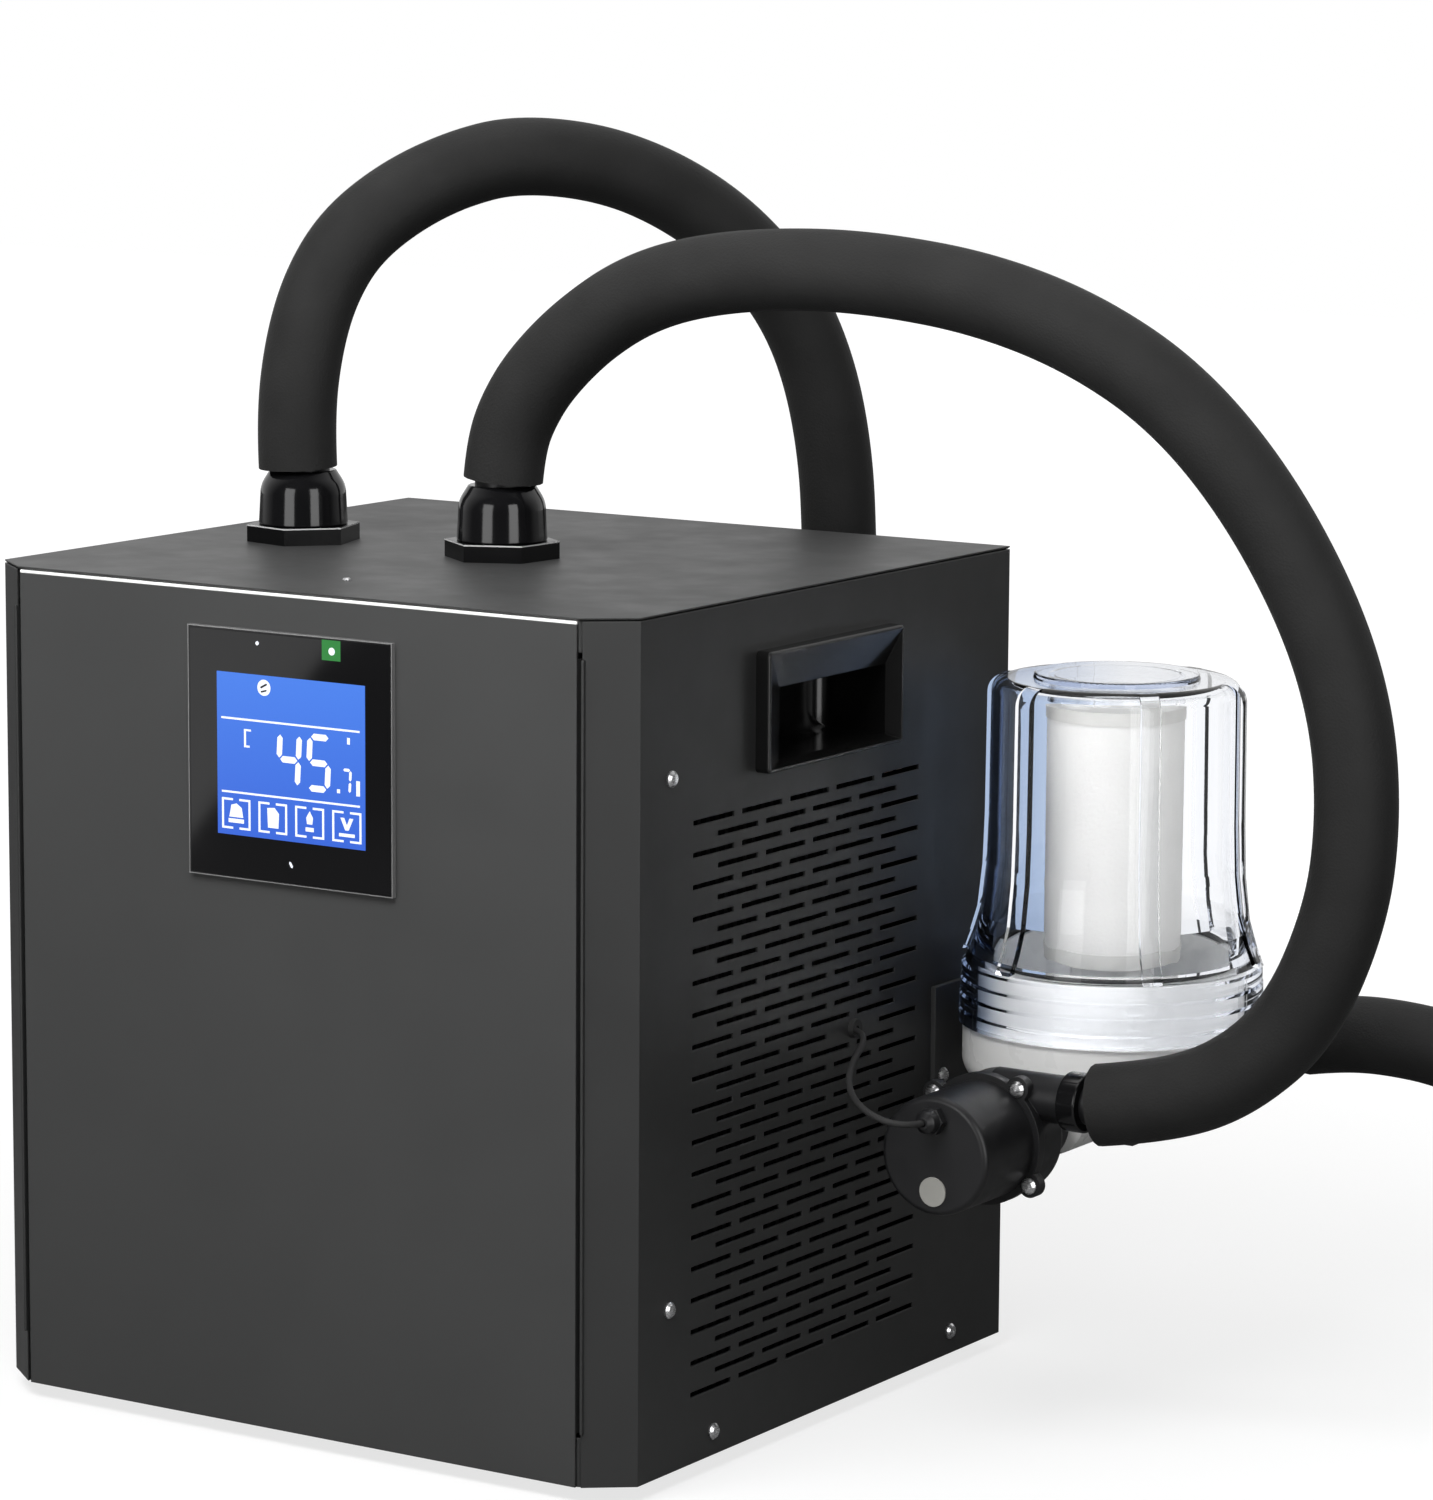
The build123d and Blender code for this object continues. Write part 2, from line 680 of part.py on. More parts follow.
def make_volute():
    """Pump housing: eared flange, snail chamber, tangential outlet and axial inlet."""
    depth = VOLUTE_END - MOTOR_END
    body = rod((0, 0, 0), (0, 0, FLANGE_THICK), 30)
    screw_holes = []
    for angle in PUMP_SCREW_ANGLES:
        ear = block((20, PUMP_SCREW_CIRCLE), (-EAR_RADIUS, EAR_RADIUS), (0, FLANGE_THICK))
        ear += rod((PUMP_SCREW_CIRCLE, 0, 0), (PUMP_SCREW_CIRCLE, 0, FLANGE_THICK), EAR_RADIUS)
        body += Rot(0, 0, -angle) * ear
        hole = rod((PUMP_SCREW_CIRCLE, 0, -1), (PUMP_SCREW_CIRCLE, 0, FLANGE_THICK + 1), SCREW_HOLE)
        screw_holes.append(along_y(Rot(0, 0, -angle) * hole, FILTER_X, MOTOR_END, PORT_Z))
    body += turned(
        [(0, FLANGE_THICK), (VOLUTE_RADIUS, FLANGE_THICK), (VOLUTE_RADIUS, depth), (0, depth)],
        rounds=[(2, 5)],
    )
    body += turned(
        [
            (0, depth - 2),
            (SPIGOT_RADIUS, depth - 2),
            (SPIGOT_RADIUS, depth + 5.4),
            (SPIGOT_RADIUS + 1.6, depth + 5.4),
            (SPIGOT_RADIUS + 1.6, depth + 11.8),
            (0, depth + 11.8),
        ]
    )
    chamber = turned([(0, -1), (15.5, -1), (15.5, 2), (24, 2), (24, 18), (0, 18)])
    chamber += rod((0, 0, 10), (0, 0, depth + 20), 8)
    start = (FILTER_X, OUTLET_Y, OUTLET_Z)
    arm = rod(start, (OUTLET_END - COLLAR_BACK, OUTLET_Y, OUTLET_Z), 11)
    arm += rod(start, (OUTLET_END + TAIL_IN_HOSE, OUTLET_Y, OUTLET_Z), 9.5)
    body = along_y(body, FILTER_X, MOTOR_END, PORT_Z) + arm - screw_holes
    body -= along_y(chamber, FILTER_X, MOTOR_END, PORT_Z)
    low = OUTLET_Z - 2
    return body - rod((FILTER_X, OUTLET_Y, low), (OUTLET_END + 30, OUTLET_Y, low), 6)


def make_outlet_collar():
    """Clamp ring behind the feed hose's end."""
    ring = turned([(9.5, 0), (13.5, 0), (13.5, 10), (9.5, 10)], rounds=[(1, 1), (2, 1)])
    return along_x(ring, OUTLET_END - COLLAR_BACK + 0.3, OUTLET_Y, OUTLET_Z)


def make_impeller():
    """Vaned disc, magnet rotor and shaft in one turning piece."""
    wheel = rod((0, 0, 0), (0, 0, 2), 21.5) + rod((0, 0, 0), (0, 0, 9), 7)
    for n in range(6):
        vane = Rot(0, 0, 60 * n) * Pos(6.5, 0, 0) * Rot(0, 0, 35) * block((0, 14), (-0.8, 0.8), (0, 8))
        wheel += vane
    wheel = Pos(0, 0, 3.5) * wheel
    shaft = rod((0, 0, -34.5), (0, 0, 6), SHAFT_RADIUS)
    rotor = rod((0, 0, -28), (0, 0, -2), 13.5)
    neck = rod((0, 0, -3), (0, 0, 4), 6)
    return along_y(wheel + shaft + rotor + neck, FILTER_X, MOTOR_END, PORT_Z)


def make_pump_screws():
    screws = []
    for angle in PUMP_SCREW_ANGLES:
        x = FILTER_X + PUMP_SCREW_CIRCLE * math.cos(math.radians(angle))
        z = PORT_Z + PUMP_SCREW_CIRCLE * math.sin(math.radians(angle))
        screws.append(Pos(x, MOTOR_END, z) * Rot(90, 0, 0) * screw_head(5))
    return screws


def make_plug_disc():
    """Grey disc in the motor's end face."""
    return rod((FILTER_X, PUMP_FRONT - 0.8, DISC_Z), (FILTER_X, PUMP_FRONT, DISC_Z), 6.6)


def make_union_nut(front, side):
    """Ribbed union nut on one filter nozzle; it turns on the spigot beside it."""
    profile = [
        (SPIGOT_RADIUS + FIT, 0),
        (17.5, 0),
        (19, 2),
        (19, NUT_LENGTH - 2),
        (17.5, NUT_LENGTH),
        (NOZZLE_RADIUS + 0.3, NUT_LENGTH),
        (NOZZLE_RADIUS + 0.3, 3),
        (SPIGOT_RADIUS + FIT, 3),
    ]
    nut = turned(profile)
    for n in range(8):
        nut += Rot(0, 0, 45 * n) * block((17, 20.4), (-2, 2), (3, 17))
    if side < 0:
        return along_y(nut, FILTER_X, front, PORT_Z)
    return Pos(FILTER_X, front, PORT_Z) * Rot(90, 0, 0) * nut


def elbow_point(distance):
    """A point on the line of the elbow's outlet, which climbs a little."""
    tilt = math.radians(ELBOW_TILT)
    return (FILTER_X + distance * math.cos(tilt), ELBOW_Y, PORT_Z + distance * math.sin(tilt))


def make_elbow():
    """Hose elbow behind the filter, with its clamp collar."""
    start = FILTER_Y + PORT_FACE + NOZZLE_LENGTH + 0.2
    low = (FILTER_X, start, PORT_Z)
    corner = (FILTER_X, ELBOW_Y, PORT_Z)
    end = FILTER_X + ELBOW_LENGTH
    elbow = pipe([low, corner, (end + TAIL_IN_HOSE, ELBOW_Y, PORT_Z)], SPIGOT_RADIUS, 20)
    elbow += rod(low, (FILTER_X, start + 6.4, PORT_Z), SPIGOT_RADIUS + 1.6)
    elbow -= pipe([low, corner, (end + 20, ELBOW_Y, PORT_Z)], 8, 20)
    collar = turned([(10, 0), (13.5, 0), (13.5, 9), (10, 9)], rounds=[(1, 1), (2, 1)])
    elbow += along_x(collar, end - 9.5, ELBOW_Y, PORT_Z)
    return elbow.rotate(Axis((FILTER_X, 0, PORT_Z), (0, 1, 0)), -ELBOW_TILT)


def make_gland():
    nut = extrude(RegularPolygon(6.6, 6), 4)
    dome = turned([(0, 4), (5.6, 4), (5, 8), (2.6, 10), (0, 10)], rounds=[(2, 1.5)])
    body = nut + dome - rod((0, 0, -1), (0, 0, 11), CABLE_RADIUS + PINCH)
    return Pos(FILTER_X, PUMP_FRONT, GLAND_Z) * Rot(90, 0, 0) * body


def make_grommet():
    bore = CABLE_RADIUS + PINCH
    ring = turned(
        [
            (bore, -2),
            (4.6, -2),
            (4.6, 0),
            (3.5, 0),
            (3.5, SHEET),
            (4.6, SHEET),
            (4.2, SHEET + 2.4),
            (bore, SHEET + 2.4),
        ]
    )
    return along_x(ring, SIDE - SHEET, GROMMET_Y, GROMMET_Z)


# Cooling unit

def make_compressor():
    """Hermetic can with its base plate."""
    seam = COMPRESSOR_RADIUS + 2
    can = turned(
        [
            (0, 22),
            (34, 22),
            (COMPRESSOR_RADIUS, 34),
            (COMPRESSOR_RADIUS, 92),
            (seam, 92),
            (seam, 98),
            (COMPRESSOR_RADIUS, 98),
            (COMPRESSOR_RADIUS, 152),
            (36, 174),
            (0, 178),
        ],
        rounds=[(2, 12), (7, 16), (8, 20)],
    )
    plate = fillet(block((-62, 62), (-44, 44), (19, 22)).edges().filter_by(Axis.Z), 10)
    can += plate
    can += block((-18, 18), (-66, -46), (60, 110))
    can += rod((40, 0, DISCHARGE_Z), (COMPRESSOR_RADIUS + STUB, 0, DISCHARGE_Z), 5)
    can += rod((-40, 0, SUCTION_Z), (-COMPRESSOR_RADIUS - STUB, 0, SUCTION_Z), 7)
    return Pos(*COMPRESSOR, 0) * can


def make_compressor_mounts():
    mounts = []
    low = BOTTOM + SHEET
    for x in (-52, 52):
        for y in (-34, 34):
            mount = turned([(0, low), (9, low), (7, low + 3), (9, 19), (0, 19)])
            mounts.append(Pos(COMPRESSOR[0] + x, COMPRESSOR[1] + y, 0) * mount)
    return mounts


def fin_gap(y):
    return block((COIL_X[1] - FIN_DEPTH, COIL_X[1]), (y, y + FIN_GAP), (COIL_Z[0] + 6, COIL_Z[1] - 6))


def make_condenser():
    """Fin pack between two end plates, with the return bends of its tubes."""
    across = (COIL_X[0] + 2, COIL_X[1] - 2)
    core = block(across, (COIL_Y[0] + 2, COIL_Y[1] - 2), (COIL_Z[0] + 3, COIL_Z[1] - 3))
    core -= [fin_gap(COIL_Y[0] + 9 + n * FIN_PITCH) for n in range(FIN_GAPS)]
    for y in (COIL_Y[0], COIL_Y[1] - 2):
        core += block(COIL_X, (y, y + 2), COIL_Z)
    core += block(COIL_X, COIL_Y, (COIL_Z[0], COIL_Z[0] + 3))
    core += block(COIL_X, COIL_Y, (COIL_Z[1] - 3, COIL_Z[1]))
    for n in range(BENDS):
        z = BEND_START + n * BEND_PITCH
        axis = Axis((TUBE_X, COIL_Y[1], z + BEND_SPAN / 2), (1, 0, 0))
        plane = Plane(origin=(TUBE_X, COIL_Y[1], z), x_dir=(1, 0, 0), z_dir=(0, 1, 0))
        half = plane * Circle(TUBE_RADIUS)
        core += revolve(half, axis, 180)
    return core


def fan_arms(inner, outer, depth):
    """Radial bars round the fan's axis."""
    arms = Part()
    for n in range(FAN_ARMS):
        arms += Rot(0, 0, 90 + 360 / FAN_ARMS * n) * block((inner, outer), (-4, 4), (0, depth))
    return arms


def make_fan_shroud():
    """Shroud plate with the fan's ring and three arms that carry the motor."""
    height = (FAN_Z - SHROUD_HALF, FAN_Z + SHROUD_HALF)
    low, high = COIL_Y[0] + 1, COIL_Y[1] - 1
    plate = block(SHROUD_X, (low, high), height)
    for y in ((low, low + 4), (high - 4, high)):
        plate += block((SHROUD_X[1], COIL_X[0]), y, height)
    bore = FAN_RADIUS + FAN_TIP_GAP
    plate -= rod((SHROUD_X[0] - 4, FAN_Y, FAN_Z), (SHROUD_X[1] + 4, FAN_Y, FAN_Z), bore)
    ring = turned([(bore, 0), (bore + 2, 0), (bore + 2, 35), (bore, 35)])
    shroud = plate + along_x(ring, 90, FAN_Y, FAN_Z)
    seat = FAN_MOTOR_RADIUS + 0.1
    hoop = turned([(seat, 0), (33, 0), (33, 6), (seat, 6)])
    carrier = fan_arms(FAN_MOTOR_RADIUS, FAN_RADIUS + 2, 2.5) + hoop + fan_arms(FAN_RADIUS, bore + 1.9, 7)
    return shroud + along_x(carrier, FAN_ARM_X, FAN_Y, FAN_Z)


def make_fan_motor():
    bore = FAN_SHAFT_RADIUS + FIT
    motor = turned(
        [
            (0, 0),
            (26, 0),
            (FAN_MOTOR_RADIUS, 5),
            (FAN_MOTOR_RADIUS, 34),
            (24, 38),
            (8, 38),
            (8, 40),
            (bore, 40),
            (bore, 26),
            (0, 26),
        ],
        rounds=[(1, 2)],
    )
    return along_x(motor, FAN_MOTOR_X, FAN_Y, FAN_Z)


def make_fan_rotor():
    """Hub with five twisted blades and the shaft that runs in the motor."""
    hub = turned([(0, 0), (20, 0), (22, 2), (22, 18), (0, 18)], rounds=[(3, 3)])
    rotor = hub
    sections = []
    for radius, twist, chord in ((19.0, 42.0, 18.6), (52.0, 33.0, 26.04), (FAN_RADIUS - 1, 26.0, 31.0)):
        plane = Plane(origin=(radius, 0, 9), x_dir=(0, 1, 0), z_dir=(1, 0, 0))
        sections.append(plane * Rot(0, 0, twist) * Rectangle(chord, 1.6))
    blade = loft(sections, ruled=True)
    for n in range(FAN_BLADES):
        rotor += Rot(0, 0, 360 / FAN_BLADES * n) * blade
    rotor += rod((0, 0, -16), (0, 0, 4), FAN_SHAFT_RADIUS)
    return along_x(rotor, FAN_X, FAN_Y, FAN_Z)


def make_tank():
    """Insulated evaporator tank with its stubs for water and refrigerant."""
    low, high = TANK_Z
    tank = turned(
        [(0, low), (TANK_RADIUS, low), (TANK_RADIUS, high), (0, high)], rounds=[(1, 4), (2, 8)]
    )
    tank = Pos(*TANK, 0) * tank
    inlet = FITTING_X["left"]
    tank += rod((inlet, FITTING_Y, high - 5), (inlet, FITTING_Y, STUB_END), 13)
    tank += rod((-70, FITTING_Y, OUTLET_PIPE_Z), (OUTLET_STUB_X, FITTING_Y, OUTLET_PIPE_Z), 13)
    edge = TANK_RADIUS + STUB
    tank += rod((*TANK, EXPANSION_Z), (TANK[0], TANK[1] - edge, EXPANSION_Z), 4)
    return tank + rod((*TANK, COLD_GAS_Z), (TANK[0], TANK[1] + edge, COLD_GAS_Z), 7)


def make_water_inlet_pipe():
    """From the left fitting down into the tank, beside the handle cup."""
    x = FITTING_X["left"]
    return rod((x, FITTING_Y, STUB_END), (x, FITTING_Y, STEM_END), WATER_PIPE_RADIUS)


def make_water_outlet_pipe():
    x = FITTING_X["right"]
    return pipe(
        [
            (OUTLET_STUB_X, FITTING_Y, OUTLET_PIPE_Z),
            (x, FITTING_Y, OUTLET_PIPE_Z),
            (x, FITTING_Y, STEM_END),
        ],
        WATER_PIPE_RADIUS,
        14,
    )


def make_discharge_pipe():
    """Hot gas, from the compressor up to the top of the condenser."""
    x, y = COMPRESSOR
    riser = (x + 84, y + 34)
    return pipe(
        [
            (x + COMPRESSOR_RADIUS + STUB, y, DISCHARGE_Z),
            (riser[0], y, DISCHARGE_Z),
            (*riser, DISCHARGE_Z),
            (*riser, HOT_GAS_Z),
            (TUBE_X, riser[1], HOT_GAS_Z),
            (TUBE_X, COIL_Y[1], HOT_GAS_Z),
        ],
        HOT_PIPE_RADIUS,
        10,
    )


def make_liquid_pipe():
    """From the foot of the condenser to the drier."""
    route = [
        (TUBE_X, COIL_Y[0], LIQUID_Z),
        (TUBE_X, DRIER[1], LIQUID_Z),
        (*DRIER, LIQUID_Z),
        (*DRIER, DRIER_Z[0]),
    ]
    return pipe(route, HOT_PIPE_RADIUS, 10)


def make_drier():
    low, high = DRIER_Z
    body = turned(
        [(0, low), (3.5, low), (10, low + 8), (10, high - 8), (3.5, high), (0, high)],
        rounds=[(2, 3), (3, 3)],
    )
    return Pos(*DRIER, 0) * body


def make_expansion_pipe():
    """Thin pipe from the drier to the tank."""
    route = [
        (*DRIER, DRIER_Z[1]),
        (*DRIER, EXPANSION_Z),
        (TANK[0], DRIER[1], EXPANSION_Z),
        (TANK[0], TANK[1] - TANK_RADIUS - STUB, EXPANSION_Z),
    ]
    return pipe(route, CAPILLARY_RADIUS, 10)


def make_suction_pipe():
    """Cold gas, from the tank back to the compressor."""
    behind, drop = 128.0, -60.0
    return pipe(
        [
            (TANK[0], TANK[1] + TANK_RADIUS + STUB, COLD_GAS_Z),
            (TANK[0], behind, COLD_GAS_Z),
            (drop, behind, COLD_GAS_Z),
            (drop, COMPRESSOR[1], COLD_GAS_Z),
            (drop, COMPRESSOR[1], SUCTION_Z),
            (COMPRESSOR[0] - COMPRESSOR_RADIUS - STUB, COMPRESSOR[1], SUCTION_Z),
        ],
        COLD_PIPE_RADIUS,
        11,
    )


def make_board_box():
    box = block((-102, 10), (-150, -66), (BOTTOM + SHEET, 78))
    return fillet(box.edges().filter_by(Axis.Z), 4)


def make_inlet():
    x, z = INLET
    flange = block((x - 24, x + 24), (REAR, REAR + 2.5), (z - 12, z + 12))
    flange = fillet(flange.edges().filter_by(Axis.Y), 4)
    body = block((x - 14.4, x + 14.4), (REAR - 18, REAR + 2.5), (z - 10.4, z + 10.4))
    hollow = block((x - 12.2, x + 12.2), (REAR - 14, REAR + 3), (z - 8.2, z + 8.2))
    hollow = chamfer(hollow.edges().filter_by(Axis.Y).sort_by(Axis.Z)[-2:], 3.5)
    return flange + body - hollow


def make_inlet_pins():
    x, z = INLET
    pins = []
    for dx, dz in ((-7, -2), (0, 2), (7, -2)):
        across = (x + dx - 1, x + dx + 1)
        pins.append(block(across, (REAR - 14, REAR - 1.5), (z + dz - 2, z + dz + 2)))
    return pins


# Hoses

RETURN_ROUTE = [
    (FITTING_X["left"] - 1.5, FITTING_Y - 2.0, DOME_TOP + 1.2),
    (-111, -13, 448),
    (-108.5, -9.5, 481),
    (-104, -2, 508),
    (-96, 11, 531),
    (-83, 32, 549),
    (-68, 56, 561.5),
    (-51, 82, 568.5),
    (-28, 119, 564),
    (-8, 151, 550),
    (10, 180, 528),
    (26, 204, 497),
    (35, 219, 461),
    (40, 227, 418),
    (41.5, 229, 373),
    (42, 230, 305),
    (42, 231, 214),
    (42, 231, 120),
    (28, 233, 50),
    (-22, 238, HOSE_RADIUS + 0.5),
    (-85, 244, HOSE_RADIUS + 0.3),
    (-135, 243, HOSE_RADIUS + 0.3),
]

FEED_ROUTE = [
    (FITTING_X["right"] + 0.7, FITTING_Y, DOME_TOP + 2.6),
    (7.6, -9.9, 438),
    (12.5, -9.2, 454),
    (25, -7.5, 474),
    (48, -4.6, 496),
    (75, -1, 513),
    (107, 3, 522.5),
    (150, 8.5, 527),
    (193, 14, 526),
    (243, 20.5, 519),
    (290, 26.5, 503.5),
    (333, 32, 478),
    (370, 36.6, 438.5),
    (400, 40.4, 389),
    (416, 42.4, 344),
    (420, 43, 299),
    (415.5, 42.4, 256),
    (396, 40, 207),
    (365, 36, 178),
    (332, 31.7, 165),
    (OUTLET_END, OUTLET_Y, OUTLET_Z),
]

CABLE_ROUTE = [
    (FILTER_X, PUMP_FRONT, GLAND_Z),
    (FILTER_X, PUMP_FRONT - 16, GLAND_Z),
    (240, PUMP_FRONT - 26, 160),
    (222, PUMP_FRONT - 18, 164),
    (206, PUMP_FRONT, 168),
    (196, -8, 173),
    (190, 12, 177.5),
    (182, GROMMET_Y - 3, GROMMET_Z - 0.4),
    (SIDE - 4, GROMMET_Y, GROMMET_Z),
]

TURN_RADIUS = 203.0
TURN_STEPS = 14
TURN_CENTRE = (722.0, ELBOW_Y - TURN_RADIUS)


def suction_route():
    """From the elbow out of the picture, down to the floor and most of one neat turn."""
    points = [
        elbow_point(ELBOW_LENGTH + 0.5),
        (303, ELBOW_Y, 152),
        (328, ELBOW_Y, 154),
        (362, ELBOW_Y, 151.5),
        (405, ELBOW_Y, 140),
        (455, ELBOW_Y, 117),
        (512, ELBOW_Y, 85),
        (572, ELBOW_Y, 51),
        (636, ELBOW_Y, 27),
        (700, ELBOW_Y, HOSE_RADIUS + 0.5),
    ]
    reach = TURN_RADIUS / math.cos(math.pi / TURN_STEPS)
    for step in range(1, 11):
        angle = math.radians(90) - (step - 0.5) * 2 * math.pi / TURN_STEPS
        x = TURN_CENTRE[0] + reach * math.cos(angle)
        y = TURN_CENTRE[1] + reach * math.sin(angle)
        points.append((x, y, HOSE_RADIUS + 0.3))
    return points


def make_connector(end, before):
    """Threaded hose end: tail, hexagon and three-quarter inch male thread."""
    direction = (Vector(*end) - Vector(*before)).normalized()
    body = turned(
        [
            (7, -16),
            (9.5, -16),
            (9.5, 0),
            (13.5, 0),
            (13.5, 4),
            (THREAD_RADIUS, 4),
            (THREAD_RADIUS, 30),
            (9, 30),
            (9, 2),
            (7, 2),
        ]
    )
    hexagon = extrude(RegularPolygon(18.3, 6), 10) - Cylinder(12, 60)
    body = body + Pos(0, 0, 4) * hexagon
    return Plane(origin=end, z_dir=direction, x_dir=(0, 0, 1)) * body


def main():
    save("base_pan", make_base_pan())
    save("front_panel", make_front_panel())
    save("right_side_panel", make_side_panel(True))
    save("left_side_panel", mirrored(make_side_panel(False)))
    save("rear_panel", make_rear_panel())
    save("top_cover", make_top_cover())
    save("rubber_feet", *[make_foot(x, y) for x, y in FOOT_PLACES])
    save("panel_screws", *make_panel_screws())
    cup = make_handle_cup()
    save("right_handle_cup", cup)
    save("left_handle_cup", mirrored(cup))

    save("controller_bezel", make_bezel())
    save("controller_glass", make_glass())
    save("lcd_module", make_lcd())
    save("controller_case", make_controller_case())
    save("power_board_box", make_board_box())
    save("mains_inlet", make_inlet())
    save("inlet_pins", *make_inlet_pins())

    save("bulkhead_fittings", *[make_bulkhead(x) for x in FITTING_X.values()])
    save("lock_nuts", *[make_hex(x, 30, TOP - SHEET - 7.1, 25, 7) for x in FITTING_X.values()])
    nuts = []
    for side, x in FITTING_X.items():
        nuts.append(make_hex(x, FITTING_TURN[side], TOP, HEX_SIDE, HEX_THICK))
        save(f"{side}_hose_nut", make_dome_nut(x))
    save("flange_nuts", *nuts)

    save("filter_head", make_filter_head())
    save("filter_bowl", make_filter_bowl())
    save("bowl_seal", make_o_ring())
    save("filter_cartridge", make_cartridge())
    save("cartridge_caps", *make_cartridge_caps())
    save("filter_bracket", make_filter_bracket())

    save("pump_motor_case", make_motor_case())
    save("motor_plug_disc", make_plug_disc())
    save("pump_volute", make_volute())
    save("pump_impeller", make_impeller())
    save("pump_screws", *make_pump_screws())
    save("outlet_collar", make_outlet_collar())
    save("pump_union_nut", make_union_nut(FILTER_Y - NUT_FACE, -1))
    save("elbow_union_nut", make_union_nut(FILTER_Y + NUT_FACE, 1))
    save("suction_elbow", make_elbow())
    save("cable_gland", make_gland())
    save("cable_grommet", make_grommet())

    save("compressor", make_compressor())
    save("compressor_mounts", *make_compressor_mounts())
    save("condenser_coil", make_condenser())
    save("fan_shroud", make_fan_shroud())
    save("fan_motor", make_fan_motor())
    save("fan_rotor", make_fan_rotor())
    save("evaporator_tank", make_tank())
    save("water_inlet_pipe", make_water_inlet_pipe())
    save("water_outlet_pipe", make_water_outlet_pipe())
    save("discharge_pipe", make_discharge_pipe())
    save("liquid_pipe", make_liquid_pipe())
    save("filter_drier", make_drier())
    save("expansion_pipe", make_expansion_pipe())
    save("suction_pipe", make_suction_pipe())

    save("return_hose", hose("return_hose", RETURN_ROUTE, HOSE_RADIUS))
    save("return_hose_end", make_connector(RETURN_ROUTE[-1], RETURN_ROUTE[-2]))
    save("feed_hose", hose("feed_hose", FEED_ROUTE, HOSE_RADIUS))
    route = suction_route()
    save("suction_hose", hose("suction_hose", route, HOSE_RADIUS))
    save("suction_hose_end", make_connector(route[-1], route[-2]))
    save("pump_cable", hose("pump_cable", CABLE_ROUTE, CABLE_RADIUS))


main()
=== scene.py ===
import json
import math

import bmesh
import bpy
from mathutils import Matrix, Vector


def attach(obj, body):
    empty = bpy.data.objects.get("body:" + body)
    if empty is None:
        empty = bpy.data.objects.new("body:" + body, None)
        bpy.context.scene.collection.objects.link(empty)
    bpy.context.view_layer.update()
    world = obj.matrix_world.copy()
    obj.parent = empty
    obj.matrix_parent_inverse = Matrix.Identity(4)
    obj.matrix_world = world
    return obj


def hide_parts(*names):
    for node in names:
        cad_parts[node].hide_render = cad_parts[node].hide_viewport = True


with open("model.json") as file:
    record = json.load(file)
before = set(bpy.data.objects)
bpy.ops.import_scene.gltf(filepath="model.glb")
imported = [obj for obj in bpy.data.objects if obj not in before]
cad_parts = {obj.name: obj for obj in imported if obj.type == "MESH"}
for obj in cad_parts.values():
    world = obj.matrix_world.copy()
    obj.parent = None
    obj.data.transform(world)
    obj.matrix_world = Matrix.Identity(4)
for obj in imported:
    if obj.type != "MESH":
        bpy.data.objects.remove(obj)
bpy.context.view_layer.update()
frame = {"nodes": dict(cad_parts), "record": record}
nodes = frame["nodes"]
scene = bpy.context.scene

# Camera, solved from the cabinet's corners in the photograph
CAMERA_PLACE = (1.46715, -2.09377, 0.70075)
CAMERA_YAW = math.radians(32.8066)
CAMERA_PITCH = math.radians(8.9763)
CAMERA_ROLL = math.radians(0.3466)
CAMERA_LENS = 133.15
SENSOR_WIDTH = 36.0
CAMERA_REACH = 50

# Hoses and cable: the sizes and routes of part.py, in metres
HOSE_DIAMETER = 0.037
HOSE_RADIUS = HOSE_DIAMETER / 2
HOSE_LANDS = HOSE_RADIUS + 0.0005
HOSE_LIES = HOSE_RADIUS + 0.0003
CABLE_DIAMETER = 0.003
DOME_TOP = 0.4222
FITTING_Y = -0.010
LEFT_X = -0.109
RIGHT_X = 0.0055
OUTLET = (0.303, 0.028, 0.1605)
FILTER_X = 0.251
PORT_Z = 0.141
ELBOW_REACH = 0.0365
ELBOW_TILT = math.radians(12)
ELBOW_Y = 0.264
COIL_X = 0.722
COIL_RADIUS = 0.203
COIL_STEPS = 14
COIL_POINTS = 10
GLAND = (0.251, -0.028, 0.1576)

RETURN_ROUTE = [
    (LEFT_X - 0.0015, FITTING_Y - 0.002, DOME_TOP + 0.0012),
    (-0.111, -0.013, 0.448),
    (-0.1085, -0.0095, 0.481),
    (-0.104, -0.002, 0.508),
    (-0.096, 0.011, 0.531),
    (-0.083, 0.032, 0.549),
    (-0.068, 0.056, 0.5615),
    (-0.051, 0.082, 0.5685),
    (-0.028, 0.119, 0.564),
    (-0.008, 0.151, 0.55),
    (0.01, 0.18, 0.528),
    (0.026, 0.204, 0.497),
    (0.035, 0.219, 0.461),
    (0.04, 0.227, 0.418),
    (0.0415, 0.229, 0.373),
    (0.042, 0.23, 0.305),
    (0.042, 0.231, 0.214),
    (0.042, 0.231, 0.12),
    (0.028, 0.233, 0.05),
    (-0.022, 0.238, HOSE_LANDS),
    (-0.085, 0.244, HOSE_LIES),
    (-0.135, 0.243, HOSE_LIES),
]

